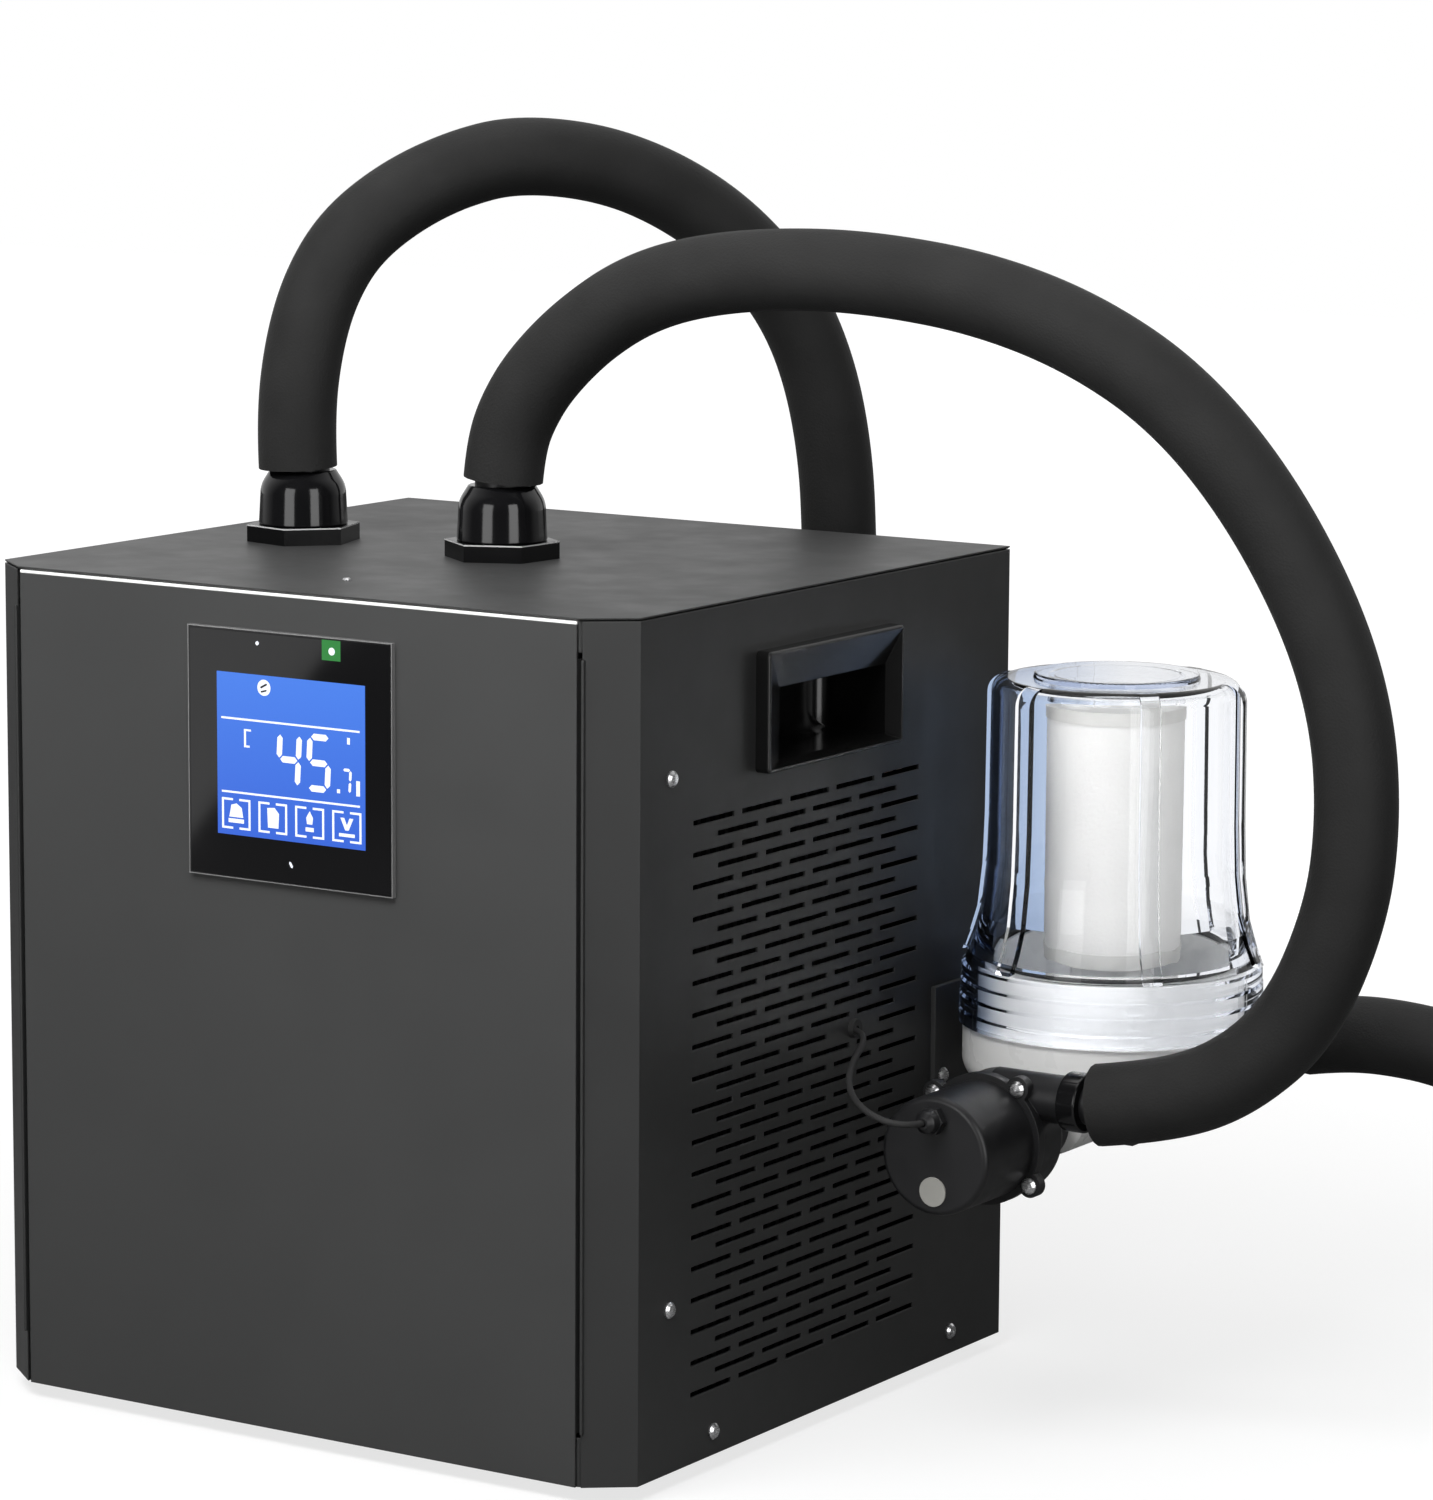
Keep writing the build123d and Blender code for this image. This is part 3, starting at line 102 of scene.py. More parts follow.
FEED_ROUTE = [
    (RIGHT_X + 0.0007, FITTING_Y, DOME_TOP + 0.0026),
    (0.0076, -0.0099, 0.438),
    (0.0125, -0.0092, 0.454),
    (0.025, -0.0075, 0.474),
    (0.048, -0.0046, 0.496),
    (0.075, -0.001, 0.513),
    (0.107, 0.003, 0.5225),
    (0.15, 0.0085, 0.527),
    (0.193, 0.014, 0.526),
    (0.243, 0.0205, 0.519),
    (0.29, 0.0265, 0.5035),
    (0.333, 0.032, 0.478),
    (0.37, 0.0366, 0.4385),
    (0.4, 0.0404, 0.389),
    (0.416, 0.0424, 0.344),
    (0.42, 0.043, 0.299),
    (0.4155, 0.0424, 0.256),
    (0.396, 0.04, 0.207),
    (0.365, 0.036, 0.178),
    (0.332, 0.0317, 0.165),
    OUTLET,
]

CABLE_ROUTE = [
    GLAND,
    (0.251, -0.044, 0.1576),
    (0.240, -0.054, 0.160),
    (0.222, -0.046, 0.164),
    (0.206, -0.028, 0.168),
    (0.196, -0.008, 0.173),
    (0.190, 0.012, 0.1775),
    (0.182, 0.0243, 0.180),
    (0.171, 0.0273, 0.1804),
]

# Places that a material or a display plate follows, as in part.py, in metres
FACE_Y = -0.1675
LCD_X = (-0.0383, 0.0431)
LCD_Z = (0.27755, 0.35045)
LCD_WIDTH = LCD_X[1] - LCD_X[0]
LCD_HEIGHT = LCD_Z[1] - LCD_Z[0]
BEZEL_X = 0.00145
BEZEL_Z = 0.314
BEZEL_HALF = 0.05615
HEX_TOP = 0.3966
PANEL_TOP = 0.387

# Painted highlight lines: where each starts and where it is full, as distances from its edge
PANEL_HIGHLIGHT_LINE = (0.0014, 0.00112)
BEZEL_HIGHLIGHT_LINE = (0.0005, 0.0004)
HEX_HIGHLIGHT_LINE = (0.0007, 0.0005)

# Colours that more than one surface has, or that were matched to the photograph
CABINET_GREY = (0.036, 0.0365, 0.0365)
# The front's grey is the cabinet's paint made lighter and the side's grey the same paint made darker: painted
# light and painted shade
FRONT_LIT_GREY = (0.044, 0.0445, 0.0445)
SIDE_SHADED_GREY = (0.029, 0.0295, 0.0295)
COAT_ROUGHNESS = 0.46
GLOSS_BLACK = (0.005, 0.005, 0.0055)
# Painted highlights: along the front panel's top edge, round the controller's rim, and along the nuts' upper
# edges
PANEL_HIGHLIGHT = (0.8, 0.8, 0.79)
BEZEL_HIGHLIGHT = (0.2, 0.2, 0.2)
HEX_HIGHLIGHT = (0.5, 0.5, 0.5)
CLEAR = (1.0, 1.0, 1.0)
# Painted reflection: the blue that the bowl's side towards the cabinet shows, laid into its colour
CLEAR_REFLECTED_BLUE = (0.40, 0.50, 0.68)
CLEAR_DEPTH = (0.5, 0.6, 0.8)
# Where the painted blue reflection fades out along X
REFLECTED_BLUE_X = (FILTER_X - 0.054, FILTER_X - 0.022)
LCD_FOOT = (0.032, 0.118, 0.62)
LCD_HEAD = (0.062, 0.205, 0.75)

# Studio: the floor and its glow from near to far, the world's light, and the backdrop that gloss mirrors
FLOOR_HALF = 6.0
FLOOR_DROP = 0.0002
FLOOR_GREY = (0.22, 0.22, 0.22)
FLOOR_GLOW = (0.76, 1.0)
GLOW_REACH = (0.25, 1.3)
WORLD_LIGHT = 0.32
BACKDROP = (-0.5, 0.78, 0.37)
BACKDROP_EDGE = (-0.15, 0.55)
BACKDROP_LIGHT = 0.75
STUDIO_DARK = 0.03

# Display content: places in fractions of the display's width and height
SIGN_PLATE = 0.0001
FACE_PLATE = 0.0002
SEGMENTS = {"4": "bcfg", "5": "acdfg", "7": "abc"}
SEGMENT_ENDS = {
    "a": ((0, 1), (1, 1)),
    "b": ((1, 1), (1, 0.5)),
    "c": ((1, 0.5), (1, 0)),
    "d": ((0, 0), (1, 0)),
    "f": ((0, 1), (0, 0.5)),
    "g": ((0, 0.5), (1, 0.5)),
}
DIGIT_LEAN = 0.06

# Each digit's sign, left, low, width and height, then its stroke and gap in metres
DIGITS = [
    ("4", 0.415, 0.343, 0.13, 0.315, 0.0029, 0.0006),
    ("5", 0.617, 0.343, 0.13, 0.315, 0.0029, 0.0006),
    ("7", 0.845, 0.338, 0.052, 0.14, 0.0013, 0.0003),
]

# Left, low, right and high of the two long lines and of the small bars round the digits
LONG_LINES = [
    (0.03, 0.712, 0.965, 0.724),
    (0.03, 0.258, 0.965, 0.270),
]
SMALL_BARS = [
    (0.942, 0.326, 0.966, 0.418),
    (0.813, 0.332, 0.833, 0.356),
    (0.882, 0.635, 0.90, 0.675),
    (0.185, 0.548, 0.198, 0.66),
    (0.198, 0.648, 0.232, 0.66),
    (0.198, 0.548, 0.222, 0.56),
]

# The four keys: their left and right edges, and their frames' low, high, line and half break
KEYS = [(0.03, 0.225), (0.28, 0.475), (0.53, 0.725), (0.78, 0.975)]
KEY_Z = (0.036, 0.225)
KEY_LINE = 0.013
KEY_BREAK = 0.022

# The round cooling sign: its centre, its radius in metres, and its strokes in radii with their widths
COOLING_PLACE = (0.323, 0.925)
COOLING_RADIUS = 0.0036
COOLING_STROKES = [
    (-0.55, -0.05, 0.5, 0.5, 0.0009),
    (-0.5, -0.55, 0.45, -0.3, 0.0008),
]

# On the glass, in metres: the green lamp's left, low, right and high, and the three painted glints, pale spots
# that glow
RUN_LAMP = (0.0198, 0.3600, 0.0299, 0.3690)
LEFT_GLINT = (-0.0157, 0.3645, 0.0009)
LAMP_GLINT = (0.0252, 0.3641, 0.0017)
LOW_GLINT = (0.0015, 0.2684, 0.0031, 0.2657, 0.0012)

# Sockets of the Mix node for colours, which share their names with others
MIX_A = 6
MIX_B = 7
MIX_RESULT = 2

# The middle part of a noise, which carries most of its values
NOISE_REACH = (0.3, 0.7)
BEVEL_SAMPLES = 6


# Shader nodes

def maths(tree, operation, first, second):
    """A Math node over two sockets."""
    node = tree.nodes.new("ShaderNodeMath")
    node.operation = operation
    tree.links.new(first, node.inputs[0])
    tree.links.new(second, node.inputs[1])
    return node.outputs["Value"]


def fill(tree, socket, value):
    """Give a socket a number or a colour, or link another node's output to it."""
    if isinstance(value, bpy.types.NodeSocket):
        tree.links.new(value, socket)
    else:
        socket.default_value = value


def carry(tree, value, reach, low=0.0, high=1.0):
    """Low where the value is at the reach's start, high where it is at its end, and held beyond both."""
    node = tree.nodes.new("ShaderNodeMapRange")
    node.inputs["From Min"].default_value = reach[0]
    node.inputs["From Max"].default_value = reach[1]
    fill(tree, node.inputs["To Min"], low)
    fill(tree, node.inputs["To Max"], high)
    tree.links.new(value, node.inputs["Value"])
    return node.outputs["Result"]


def light_path(tree, *kinds):
    """1 for rays of the named kinds, 0 for the others."""
    path = tree.nodes.new("ShaderNodeLightPath")
    seen = path.outputs[kinds[0]]
    for kind in kinds[1:]:
        seen = maths(tree, "MAXIMUM", seen, path.outputs[kind])
    return seen


class Shader:
    """A Principled material with the few nodes that every surface here uses."""

    def __init__(self, name, colour, roughness, metallic=0.0):
        self.material = bpy.data.materials.new(name)
        self.material.use_nodes = True
        self.tree = self.material.node_tree
        self.nodes = self.tree.nodes
        self.links = self.tree.links
        self.surface = self.nodes["Principled BSDF"]
        self.colour = (*colour, 1)
        self.set("Base Color", self.colour)
        self.set("Roughness", roughness)
        self.set("Metallic", metallic)
        self.place = self.nodes.new("ShaderNodeTexCoord").outputs["Object"]

    def set(self, socket, value):
        fill(self.tree, self.surface.inputs[socket], value)

    def noise(self, scale, detail=3.0, stretch=(1, 1, 1)):
        mapping = self.nodes.new("ShaderNodeMapping")
        mapping.inputs["Scale"].default_value = stretch
        self.links.new(self.place, mapping.inputs["Vector"])
        texture = self.nodes.new("ShaderNodeTexNoise")
        texture.inputs["Scale"].default_value = scale
        texture.inputs["Detail"].default_value = detail
        self.links.new(mapping.outputs["Vector"], texture.inputs["Vector"])
        return texture.outputs["Fac"]

    def cells(self, scale):
        texture = self.nodes.new("ShaderNodeTexVoronoi")
        texture.inputs["Scale"].default_value = scale
        self.links.new(self.place, texture.inputs["Vector"])
        return texture.outputs["Distance"]

    def vector_maths(self, operation, vector, other=None):
        """A Vector Math node over a socket and, where it takes one, a fixed vector."""
        node = self.nodes.new("ShaderNodeVectorMath")
        node.operation = operation
        self.links.new(vector, node.inputs[0])
        if other:
            node.inputs[1].default_value = other
        return node

    def split(self, vector):
        """The X, Y and Z of a vector, by name."""
        node = self.nodes.new("ShaderNodeSeparateXYZ")
        self.links.new(vector, node.inputs["Vector"])
        return node.outputs

    def upright(self):
        """1 on faces that stand upright, 0 on those that lie flat."""
        normal = self.nodes.new("ShaderNodeNewGeometry").outputs["True Normal"]
        return carry(self.tree, self.split(normal)["Z"], (0.6, 0.4))

    def near_edge(self, value, edge, line):
        """1 within a painted highlight line's width of an edge, 0 further in."""
        return carry(self.tree, value, (edge - line[0], edge - line[1]))

    def between(self, factor, first, second):
        """A colour that goes from the first to the second as the factor goes from 0 to 1."""
        mix = self.nodes.new("ShaderNodeMix")
        mix.data_type = "RGBA"
        fill(self.tree, mix.inputs[MIX_A], first)
        fill(self.tree, mix.inputs[MIX_B], second)
        self.links.new(factor, mix.inputs["Factor"])
        return mix.outputs[MIX_RESULT]

    def mottle(self, texture, amount):
        """Vary the base colour a little, darker and lighter, along a texture."""
        red, green, blue, alpha = self.colour
        dark = [c * (1 - amount) for c in (red, green, blue)]
        light = [min(1.0, c * (1 + amount)) for c in (red, green, blue)]
        factor = carry(self.tree, texture, NOISE_REACH)
        self.set("Base Color", self.between(factor, (*dark, alpha), (*light, alpha)))

    def paint(self, factor, colour):
        """Lay another colour over the base colour where the factor is 1."""
        base = self.surface.inputs["Base Color"]
        under = base.links[0].from_socket if base.is_linked else self.colour
        self.set("Base Color", self.between(factor, under, (*colour, 1)))

    def rough(self, texture, low, high):
        """Let the roughness follow a texture between two values."""
        self.set("Roughness", carry(self.tree, texture, NOISE_REACH, low, high))

    def bump(self, height, depth, strength):
        """Raise the surface along a texture, on top of what shapes it already."""
        normal = self.surface.inputs["Normal"]
        node = self.nodes.new("ShaderNodeBump")
        node.inputs["Strength"].default_value = strength
        node.inputs["Distance"].default_value = depth
        self.links.new(height, node.inputs["Height"])
        if normal.is_linked:
            self.links.new(normal.links[0].from_socket, node.inputs["Normal"])
        self.links.new(node.outputs["Normal"], normal)

    def soft_edges(self, radius):
        bevel = self.nodes.new("ShaderNodeBevel")
        bevel.samples = BEVEL_SAMPLES
        bevel.inputs["Radius"].default_value = radius
        self.set("Normal", bevel.outputs["Normal"])


# Materials

def powder_coat(name, colour, roughness=COAT_ROUGHNESS):
    s = Shader(name, colour, roughness)
    s.soft_edges(radius=0.0009)
    s.mottle(s.noise(scale=9.0), amount=0.05)
    s.rough(s.noise(scale=40.0), low=roughness - 0.04, high=roughness + 0.05)
    s.bump(s.noise(scale=2600.0, detail=2.0), depth=0.00004, strength=0.35)
    return s


def front_lit_paint():
    """The front panel's coat, a lighter copy of the cabinet's paint, with a painted highlight along its upper
    edge.
    """
    s = powder_coat("front_lit_paint", FRONT_LIT_GREY, roughness=0.42)
    s.paint(s.near_edge(s.split(s.place)["Z"], PANEL_TOP, PANEL_HIGHLIGHT_LINE), PANEL_HIGHLIGHT)
    return s.material


def bezel_black():
    """The controller's frame, with a painted highlight round the edge of its rim."""
    s = Shader("bezel_black", GLOSS_BLACK, roughness=0.12)
    centred = s.vector_maths("SUBTRACT", s.place, (BEZEL_X, 0, BEZEL_Z))
    away = s.vector_maths("ABSOLUTE", centred.outputs["Vector"])
    distance = s.split(away.outputs["Vector"])
    furthest = maths(s.tree, "MAXIMUM", distance["X"], distance["Z"])
    s.paint(s.near_edge(furthest, BEZEL_HALF, BEZEL_HIGHLIGHT_LINE), BEZEL_HIGHLIGHT)
    return s.material


def gloss_black(name, roughness):
    s = Shader(name, GLOSS_BLACK, roughness)
    s.soft_edges(radius=0.0006)
    s.rough(s.noise(scale=60.0), low=roughness * 0.8, high=roughness * 1.3)
    s.bump(s.noise(scale=120.0, detail=1.0), depth=0.00003, strength=0.15)
    return s.material


def panel_glass():
    s = Shader("panel_glass", (0.004, 0.004, 0.0045), roughness=0.05)
    s.rough(s.noise(scale=25.0), low=0.04, high=0.06)
    s.mottle(s.noise(scale=15.0), amount=0.1)
    return s.material


def black_plastic():
    s = Shader("black_plastic", (0.010, 0.010, 0.011), roughness=0.38)
    s.soft_edges(radius=0.0005)
    s.mottle(s.noise(scale=30.0), amount=0.1)
    s.rough(s.noise(scale=90.0), low=0.34, high=0.46)
    s.bump(s.noise(scale=1500.0, detail=2.0), depth=0.00003, strength=0.3)
    return s.material


def hose_foam():
    """Closed-cell foam: fine cells, and a slight unevenness along the hose."""
    s = Shader("hose_foam", (0.012, 0.012, 0.0118), roughness=0.72)
    s.mottle(s.noise(scale=35.0), amount=0.16)
    s.bump(s.cells(scale=900.0), depth=0.00022, strength=0.5)
    s.bump(s.noise(scale=60.0), depth=0.0006, strength=0.25)
    s.set("Specular IOR Level", 0.4)
    s.set("Sheen Weight", 0.03)
    s.set("Sheen Roughness", 0.4)
    return s.material


def black_rubber():
    s = Shader("black_rubber", (0.02, 0.02, 0.02), roughness=0.7)
    s.mottle(s.noise(scale=80.0), amount=0.12)
    s.bump(s.noise(scale=900.0), depth=0.00005, strength=0.3)
    return s.material


def clear_plastic():
    """The bowl: clear, with a painted reflection of blue on the side that is turned to the cabinet."""
    s = Shader("clear_plastic", CLEAR, roughness=0.02)
    outward = carry(s.tree, s.split(s.place)["X"], REFLECTED_BLUE_X)
    s.set("Base Color", s.between(outward, (*CLEAR_REFLECTED_BLUE, 1), (*CLEAR, 1)))
    s.set("Transmission Weight", 1.0)
    s.set("IOR", 1.3)
    s.rough(s.noise(scale=20.0), low=0.01, high=0.03)
    s.bump(s.noise(scale=45.0, detail=1.0), depth=0.00025, strength=0.1)
    absorb = s.nodes.new("ShaderNodeVolumeAbsorption")
    absorb.inputs["Color"].default_value = (*CLEAR_DEPTH, 1)
    absorb.inputs["Density"].default_value = 14.0
    s.links.new(absorb.outputs["Volume"], s.nodes["Material Output"].inputs["Volume"])
    return s.material


def white_plastic():
    s = Shader("white_plastic", (0.92, 0.92, 0.91), roughness=0.3)
    s.soft_edges(radius=0.0008)
    s.mottle(s.noise(scale=12.0), amount=0.02)
    s.rough(s.noise(scale=50.0), low=0.24, high=0.36)
    return s.material


def cartridge_white():
    """The cartridge's spun fibre, a little stretched along its height."""
    s = Shader("cartridge_white", (0.72, 0.715, 0.695), roughness=0.8)
    s.mottle(s.noise(scale=14.0, detail=4.0, stretch=(1, 1, 3)), amount=0.03)
    s.bump(s.noise(scale=420.0, detail=5.0), depth=0.0004, strength=0.5)
    return s.material


def grey_plastic():
    s = Shader("grey_plastic", (0.35, 0.345, 0.32), roughness=0.5)
    s.mottle(s.noise(scale=60.0), amount=0.07)
    s.rough(s.noise(scale=60.0), low=0.45, high=0.6)
    s.bump(s.noise(scale=900.0), depth=0.00004, strength=0.3)
    return s.material


def cap_grey():
    s = Shader("cap_grey", (0.6, 0.595, 0.57), roughness=0.5)
    s.mottle(s.noise(scale=60.0), amount=0.05)
    s.rough(s.noise(scale=60.0), low=0.45, high=0.6)
    return s.material


def cup_black():
    """The handle cups: satin, so that their slopes show an even grey."""
    s = Shader("cup_black", (0.006, 0.006, 0.006), roughness=0.2)
    s.soft_edges(radius=0.0006)
    s.mottle(s.noise(scale=40.0), amount=0.06)
    s.rough(s.noise(scale=60.0), low=0.18, high=0.23)
    return s.material


def nut_black():
    """The flange nuts: a deeper black than the other plastic, with a painted highlight along their upper
    edges.
    """
    s = Shader("nut_black", (0.001, 0.001, 0.0012), roughness=0.2)
    s.rough(s.noise(scale=60.0), low=0.18, high=0.26)
    s.set("Specular IOR Level", 0.3)
    line = s.near_edge(s.split(s.place)["Z"], HEX_TOP, HEX_HIGHLIGHT_LINE)
    s.paint(maths(s.tree, "MULTIPLY", line, s.upright()), HEX_HIGHLIGHT)
    return s.material


def steel():
    s = Shader("steel", (0.78, 0.78, 0.79), roughness=0.28, metallic=1.0)
    s.mottle(s.noise(scale=70.0), amount=0.06)
    s.rough(s.noise(scale=300.0, detail=2.0, stretch=(1, 1, 12)), low=0.2, high=0.36)
    return s.material


def copper():
    s = Shader("copper", (0.72, 0.33, 0.19), roughness=0.3, metallic=1.0)
    s.mottle(s.noise(scale=50.0), amount=0.12)
    s.rough(s.noise(scale=120.0), low=0.22, high=0.42)
    return s.material


def brass():
    s = Shader("brass", (0.70, 0.53, 0.25), roughness=0.28, metallic=1.0)
    s.mottle(s.noise(scale=60.0), amount=0.06)
    s.rough(s.noise(scale=150.0), low=0.2, high=0.35)
    return s.material


def painted_shade_fins():
    """The condenser's fins behind the slots, near black: painted shade, for the dark inside of the cabinet."""
    s = Shader("aluminium_fins", (0.006, 0.006, 0.0065), roughness=0.6)
    s.mottle(s.noise(scale=40.0), amount=0.08)
    s.rough(s.noise(scale=200.0), low=0.5, high=0.7)
    s.set("Specular IOR Level", 0.15)
    return s.material


def compressor_paint():
    s = Shader("compressor_paint", (0.015, 0.015, 0.017), roughness=0.3)
    s.mottle(s.noise(scale=20.0), amount=0.1)
    s.bump(s.noise(scale=260.0), depth=0.00008, strength=0.3)
    return s.material


def insulation():
    s = Shader("insulation", (0.03, 0.03, 0.03), roughness=0.85)
    s.mottle(s.noise(scale=40.0), amount=0.15)
    s.bump(s.cells(scale=600.0), depth=0.0004, strength=0.4)
    return s.material


def display_blue():
    """The lit display: a blue that falls from light at the top to deeper at the foot."""
    s = Shader("display_blue", (0.008, 0.02, 0.09), roughness=0.25)
    height = carry(s.tree, s.split(s.place)["Z"], LCD_Z)
    s.set("Emission Color", s.between(height, (*LCD_FOOT, 1), (*LCD_HEAD, 1)))
    s.set("Emission Strength", 1.0)
    return s.material


def lit(name, colour):
    """A sign or lamp that glows in its own colour."""
    s = Shader(name, [0.3 * c for c in colour], roughness=0.4)
    s.mottle(s.noise(scale=200.0), amount=0.04)
    s.set("Emission Color", (*colour, 1))
    s.set("Emission Strength", 0.9)
    return s.material


MATERIALS = {
    "cabinet_paint": powder_coat("cabinet_paint", CABINET_GREY).material,
    "gloss_black": gloss_black("gloss_black", roughness=0.1),
    "panel_glass": panel_glass(),
    "display_blue": display_blue(),
    "black_plastic": black_plastic(),
    "hose_foam": hose_foam(),
    "black_rubber": black_rubber(),
    "clear_plastic": clear_plastic(),
    "white_plastic": white_plastic(),
    "cartridge_white": cartridge_white(),
    "grey_plastic": grey_plastic(),
    "steel": steel(),
    "copper": copper(),
    "aluminium_fins": painted_shade_fins(),
    "compressor_paint": compressor_paint(),
    "brass": brass(),
    "insulation": insulation(),
    "fan_plastic": gloss_black("fan_plastic", roughness=0.4),
}
# The side panels: a darker copy of the cabinet's paint, painted shade
SIDE_SHADED_PAINT = powder_coat("side_shaded_paint", SIDE_SHADED_GREY).material
CUP_BLACK = cup_black()
OWN_MATERIALS = {
    "front_panel": front_lit_paint(),
    "left_side_panel": SIDE_SHADED_PAINT,
    "right_side_panel": SIDE_SHADED_PAINT,
    "left_handle_cup": CUP_BLACK,
    "right_handle_cup": CUP_BLACK,
    "controller_bezel": bezel_black(),
    "flange_nuts": nut_black(),
    "cartridge_caps": cap_grey(),
}
DISPLAY_WHITE = lit("display_white", (0.86, 0.9, 0.98))
DISPLAY_GREEN = lit("display_green", (0.025, 0.19, 0.04))


def dress_nodes():
    """Give every CAD node its slot's material, or its own variant of it."""
    for part in frame["record"]["subparts"]:
        piece = nodes[part["node"]]
        piece.data.materials.clear()
        material = OWN_MATERIALS.get(part["node"], MATERIALS[part["material_slot"]])
        piece.data.materials.append(material)
        for face in piece.data.polygons:
            face.material_index = 0


# Cords

def suction_route():
    """From the elbow out of the picture, down to the floor and most of one neat turn."""
    elbow_x = FILTER_X + ELBOW_REACH * math.cos(ELBOW_TILT)
    elbow_z = PORT_Z + ELBOW_REACH * math.sin(ELBOW_TILT)
    points = [
        (elbow_x, ELBOW_Y, elbow_z),
        (0.303, ELBOW_Y, 0.152),
        (0.328, ELBOW_Y, 0.154),
        (0.362, ELBOW_Y, 0.1515),
        (0.405, ELBOW_Y, 0.140),
        (0.455, ELBOW_Y, 0.117),
        (0.512, ELBOW_Y, 0.085),
        (0.572, ELBOW_Y, 0.051),
        (0.636, ELBOW_Y, 0.027),
        (0.700, ELBOW_Y, HOSE_LANDS),
    ]
    reach = COIL_RADIUS / math.cos(math.pi / COIL_STEPS)
    for step in range(COIL_POINTS):
        angle = math.pi / 2 - (step + 0.5) * 2 * math.pi / COIL_STEPS
        x = COIL_X + reach * math.cos(angle)
        y = ELBOW_Y - COIL_RADIUS + reach * math.sin(angle)
        points.append((x, y, HOSE_LIES))
    return points


def tube(name, route, diameter, material, body):
    """A smooth round cord along its route's control points."""
    curve = bpy.data.curves.new(name, "CURVE")
    curve.dimensions = "3D"
    spline = curve.splines.new("NURBS")
    spline.points.add(len(route) - 1)
    for point, place in zip(spline.points, route):
        point.co = (*place, 1)
    spline.order_u = 3
    spline.use_endpoint_u = True
    spline.resolution_u = 12
    curve.bevel_depth = diameter / 2
    curve.bevel_resolution = 9
    curve.use_fill_caps = True
    curve.materials.append(material)
    piece = bpy.data.objects.new(name, curve)
    scene.collection.objects.link(piece)
    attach(piece, body)
    return piece


def make_cords():
    foam = MATERIALS["hose_foam"]
    piece = tube("return_hose_look", RETURN_ROUTE, HOSE_DIAMETER, foam, "cabinet")
    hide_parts("return_hose")

    piece = tube("feed_hose_look", FEED_ROUTE, HOSE_DIAMETER, foam, "cabinet")
    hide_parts("feed_hose")

    route = suction_route()
    piece = tube("suction_hose_look", route, HOSE_DIAMETER, foam, "cabinet")
    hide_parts("suction_hose")

    piece = tube("pump_cable_look", CABLE_ROUTE, CABLE_DIAMETER, MATERIALS["black_rubber"], "cabinet")
    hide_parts("pump_cable")


# Display

def flat_prisms(name, outlines, y, depth, material):
    """Thin raised shapes on the controller's face, from outlines of (x, z) points."""
    mesh = bmesh.new()
    for outline in outlines:
        front = [mesh.verts.new((x, y - depth, z)) for x, z in outline]
        back = [mesh.verts.new((x, y, z)) for x, z in outline]
        mesh.faces.new(front)
        mesh.faces.new(back[::-1])
        for i in range(len(outline)):
            j = (i + 1) % len(outline)
            mesh.faces.new((front[j], front[i], back[i], back[j]))
    bmesh.ops.recalc_face_normals(mesh, faces=mesh.faces)
    data = bpy.data.meshes.new(name)
    mesh.to_mesh(data)
    mesh.free()
    data.materials.append(material)
    piece = bpy.data.objects.new(name, data)
    scene.collection.objects.link(piece)
    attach(piece, "cabinet")
    return piece


def on_lcd(points):
    """Metres on the controller's face, from fractions of the display."""
    return [(LCD_X[0] + u * LCD_WIDTH, LCD_Z[0] + v * LCD_HEIGHT) for u, v in points]


def corners(left, low, right, high):
    return [(left, low), (right, low), (right, high), (left, high)]


def bar(left, low, right, high):
    return on_lcd(corners(left, low, right, high))


def disc(x, z, radius, steps=28):
    turn = 2 * math.pi / steps
    return [(x + radius * math.cos(turn * i), z + radius * math.sin(turn * i)) for i in range(steps)]


def stroke(x0, z0, x1, z1, width):
    """A bar with pointed ends, as a segment display has."""
    along = Vector((x1 - x0, z1 - z0)).normalized()
    side = Vector((-along.y, along.x)) * width / 2
    cut = along * width / 2
    a, b = Vector((x0, z0)), Vector((x1, z1))
    return [tuple(q) for q in (a, a + cut - side, b - cut - side, b, b - cut + side, a + cut + side)]


def digit(sign, left, low, width, height, thick, gap):
    """One seven-segment digit, leaning a little to the right."""
    x, z = on_lcd([(left, low)])[0]
    width *= LCD_WIDTH
    height *= LCD_HEIGHT

    def at(u, v):
        return x + u * width + v * height * DIGIT_LEAN, z + v * height

    shapes = []
    for segment in SEGMENTS[sign]:
        (x0, z0), (x1, z1) = (at(*end) for end in SEGMENT_ENDS[segment])
        pull = Vector((x1 - x0, z1 - z0)).normalized() * gap
        shapes.append(stroke(x0 + pull.x, z0 + pull.y, x1 - pull.x, z1 - pull.y, thick))
    return shapes


def key_frame(left, right):
    """A key's border, broken half way along the top and the foot."""
    low, high = KEY_Z
    middle = (left + right) / 2
    shapes = [bar(left, low, left + KEY_LINE, high), bar(right - KEY_LINE, low, right, high)]
    for v in (low, high - KEY_LINE):
        shapes.append(bar(left + KEY_LINE, v, middle - KEY_BREAK, v + KEY_LINE))
        shapes.append(bar(middle + KEY_BREAK, v, right - KEY_LINE, v + KEY_LINE))
    return shapes


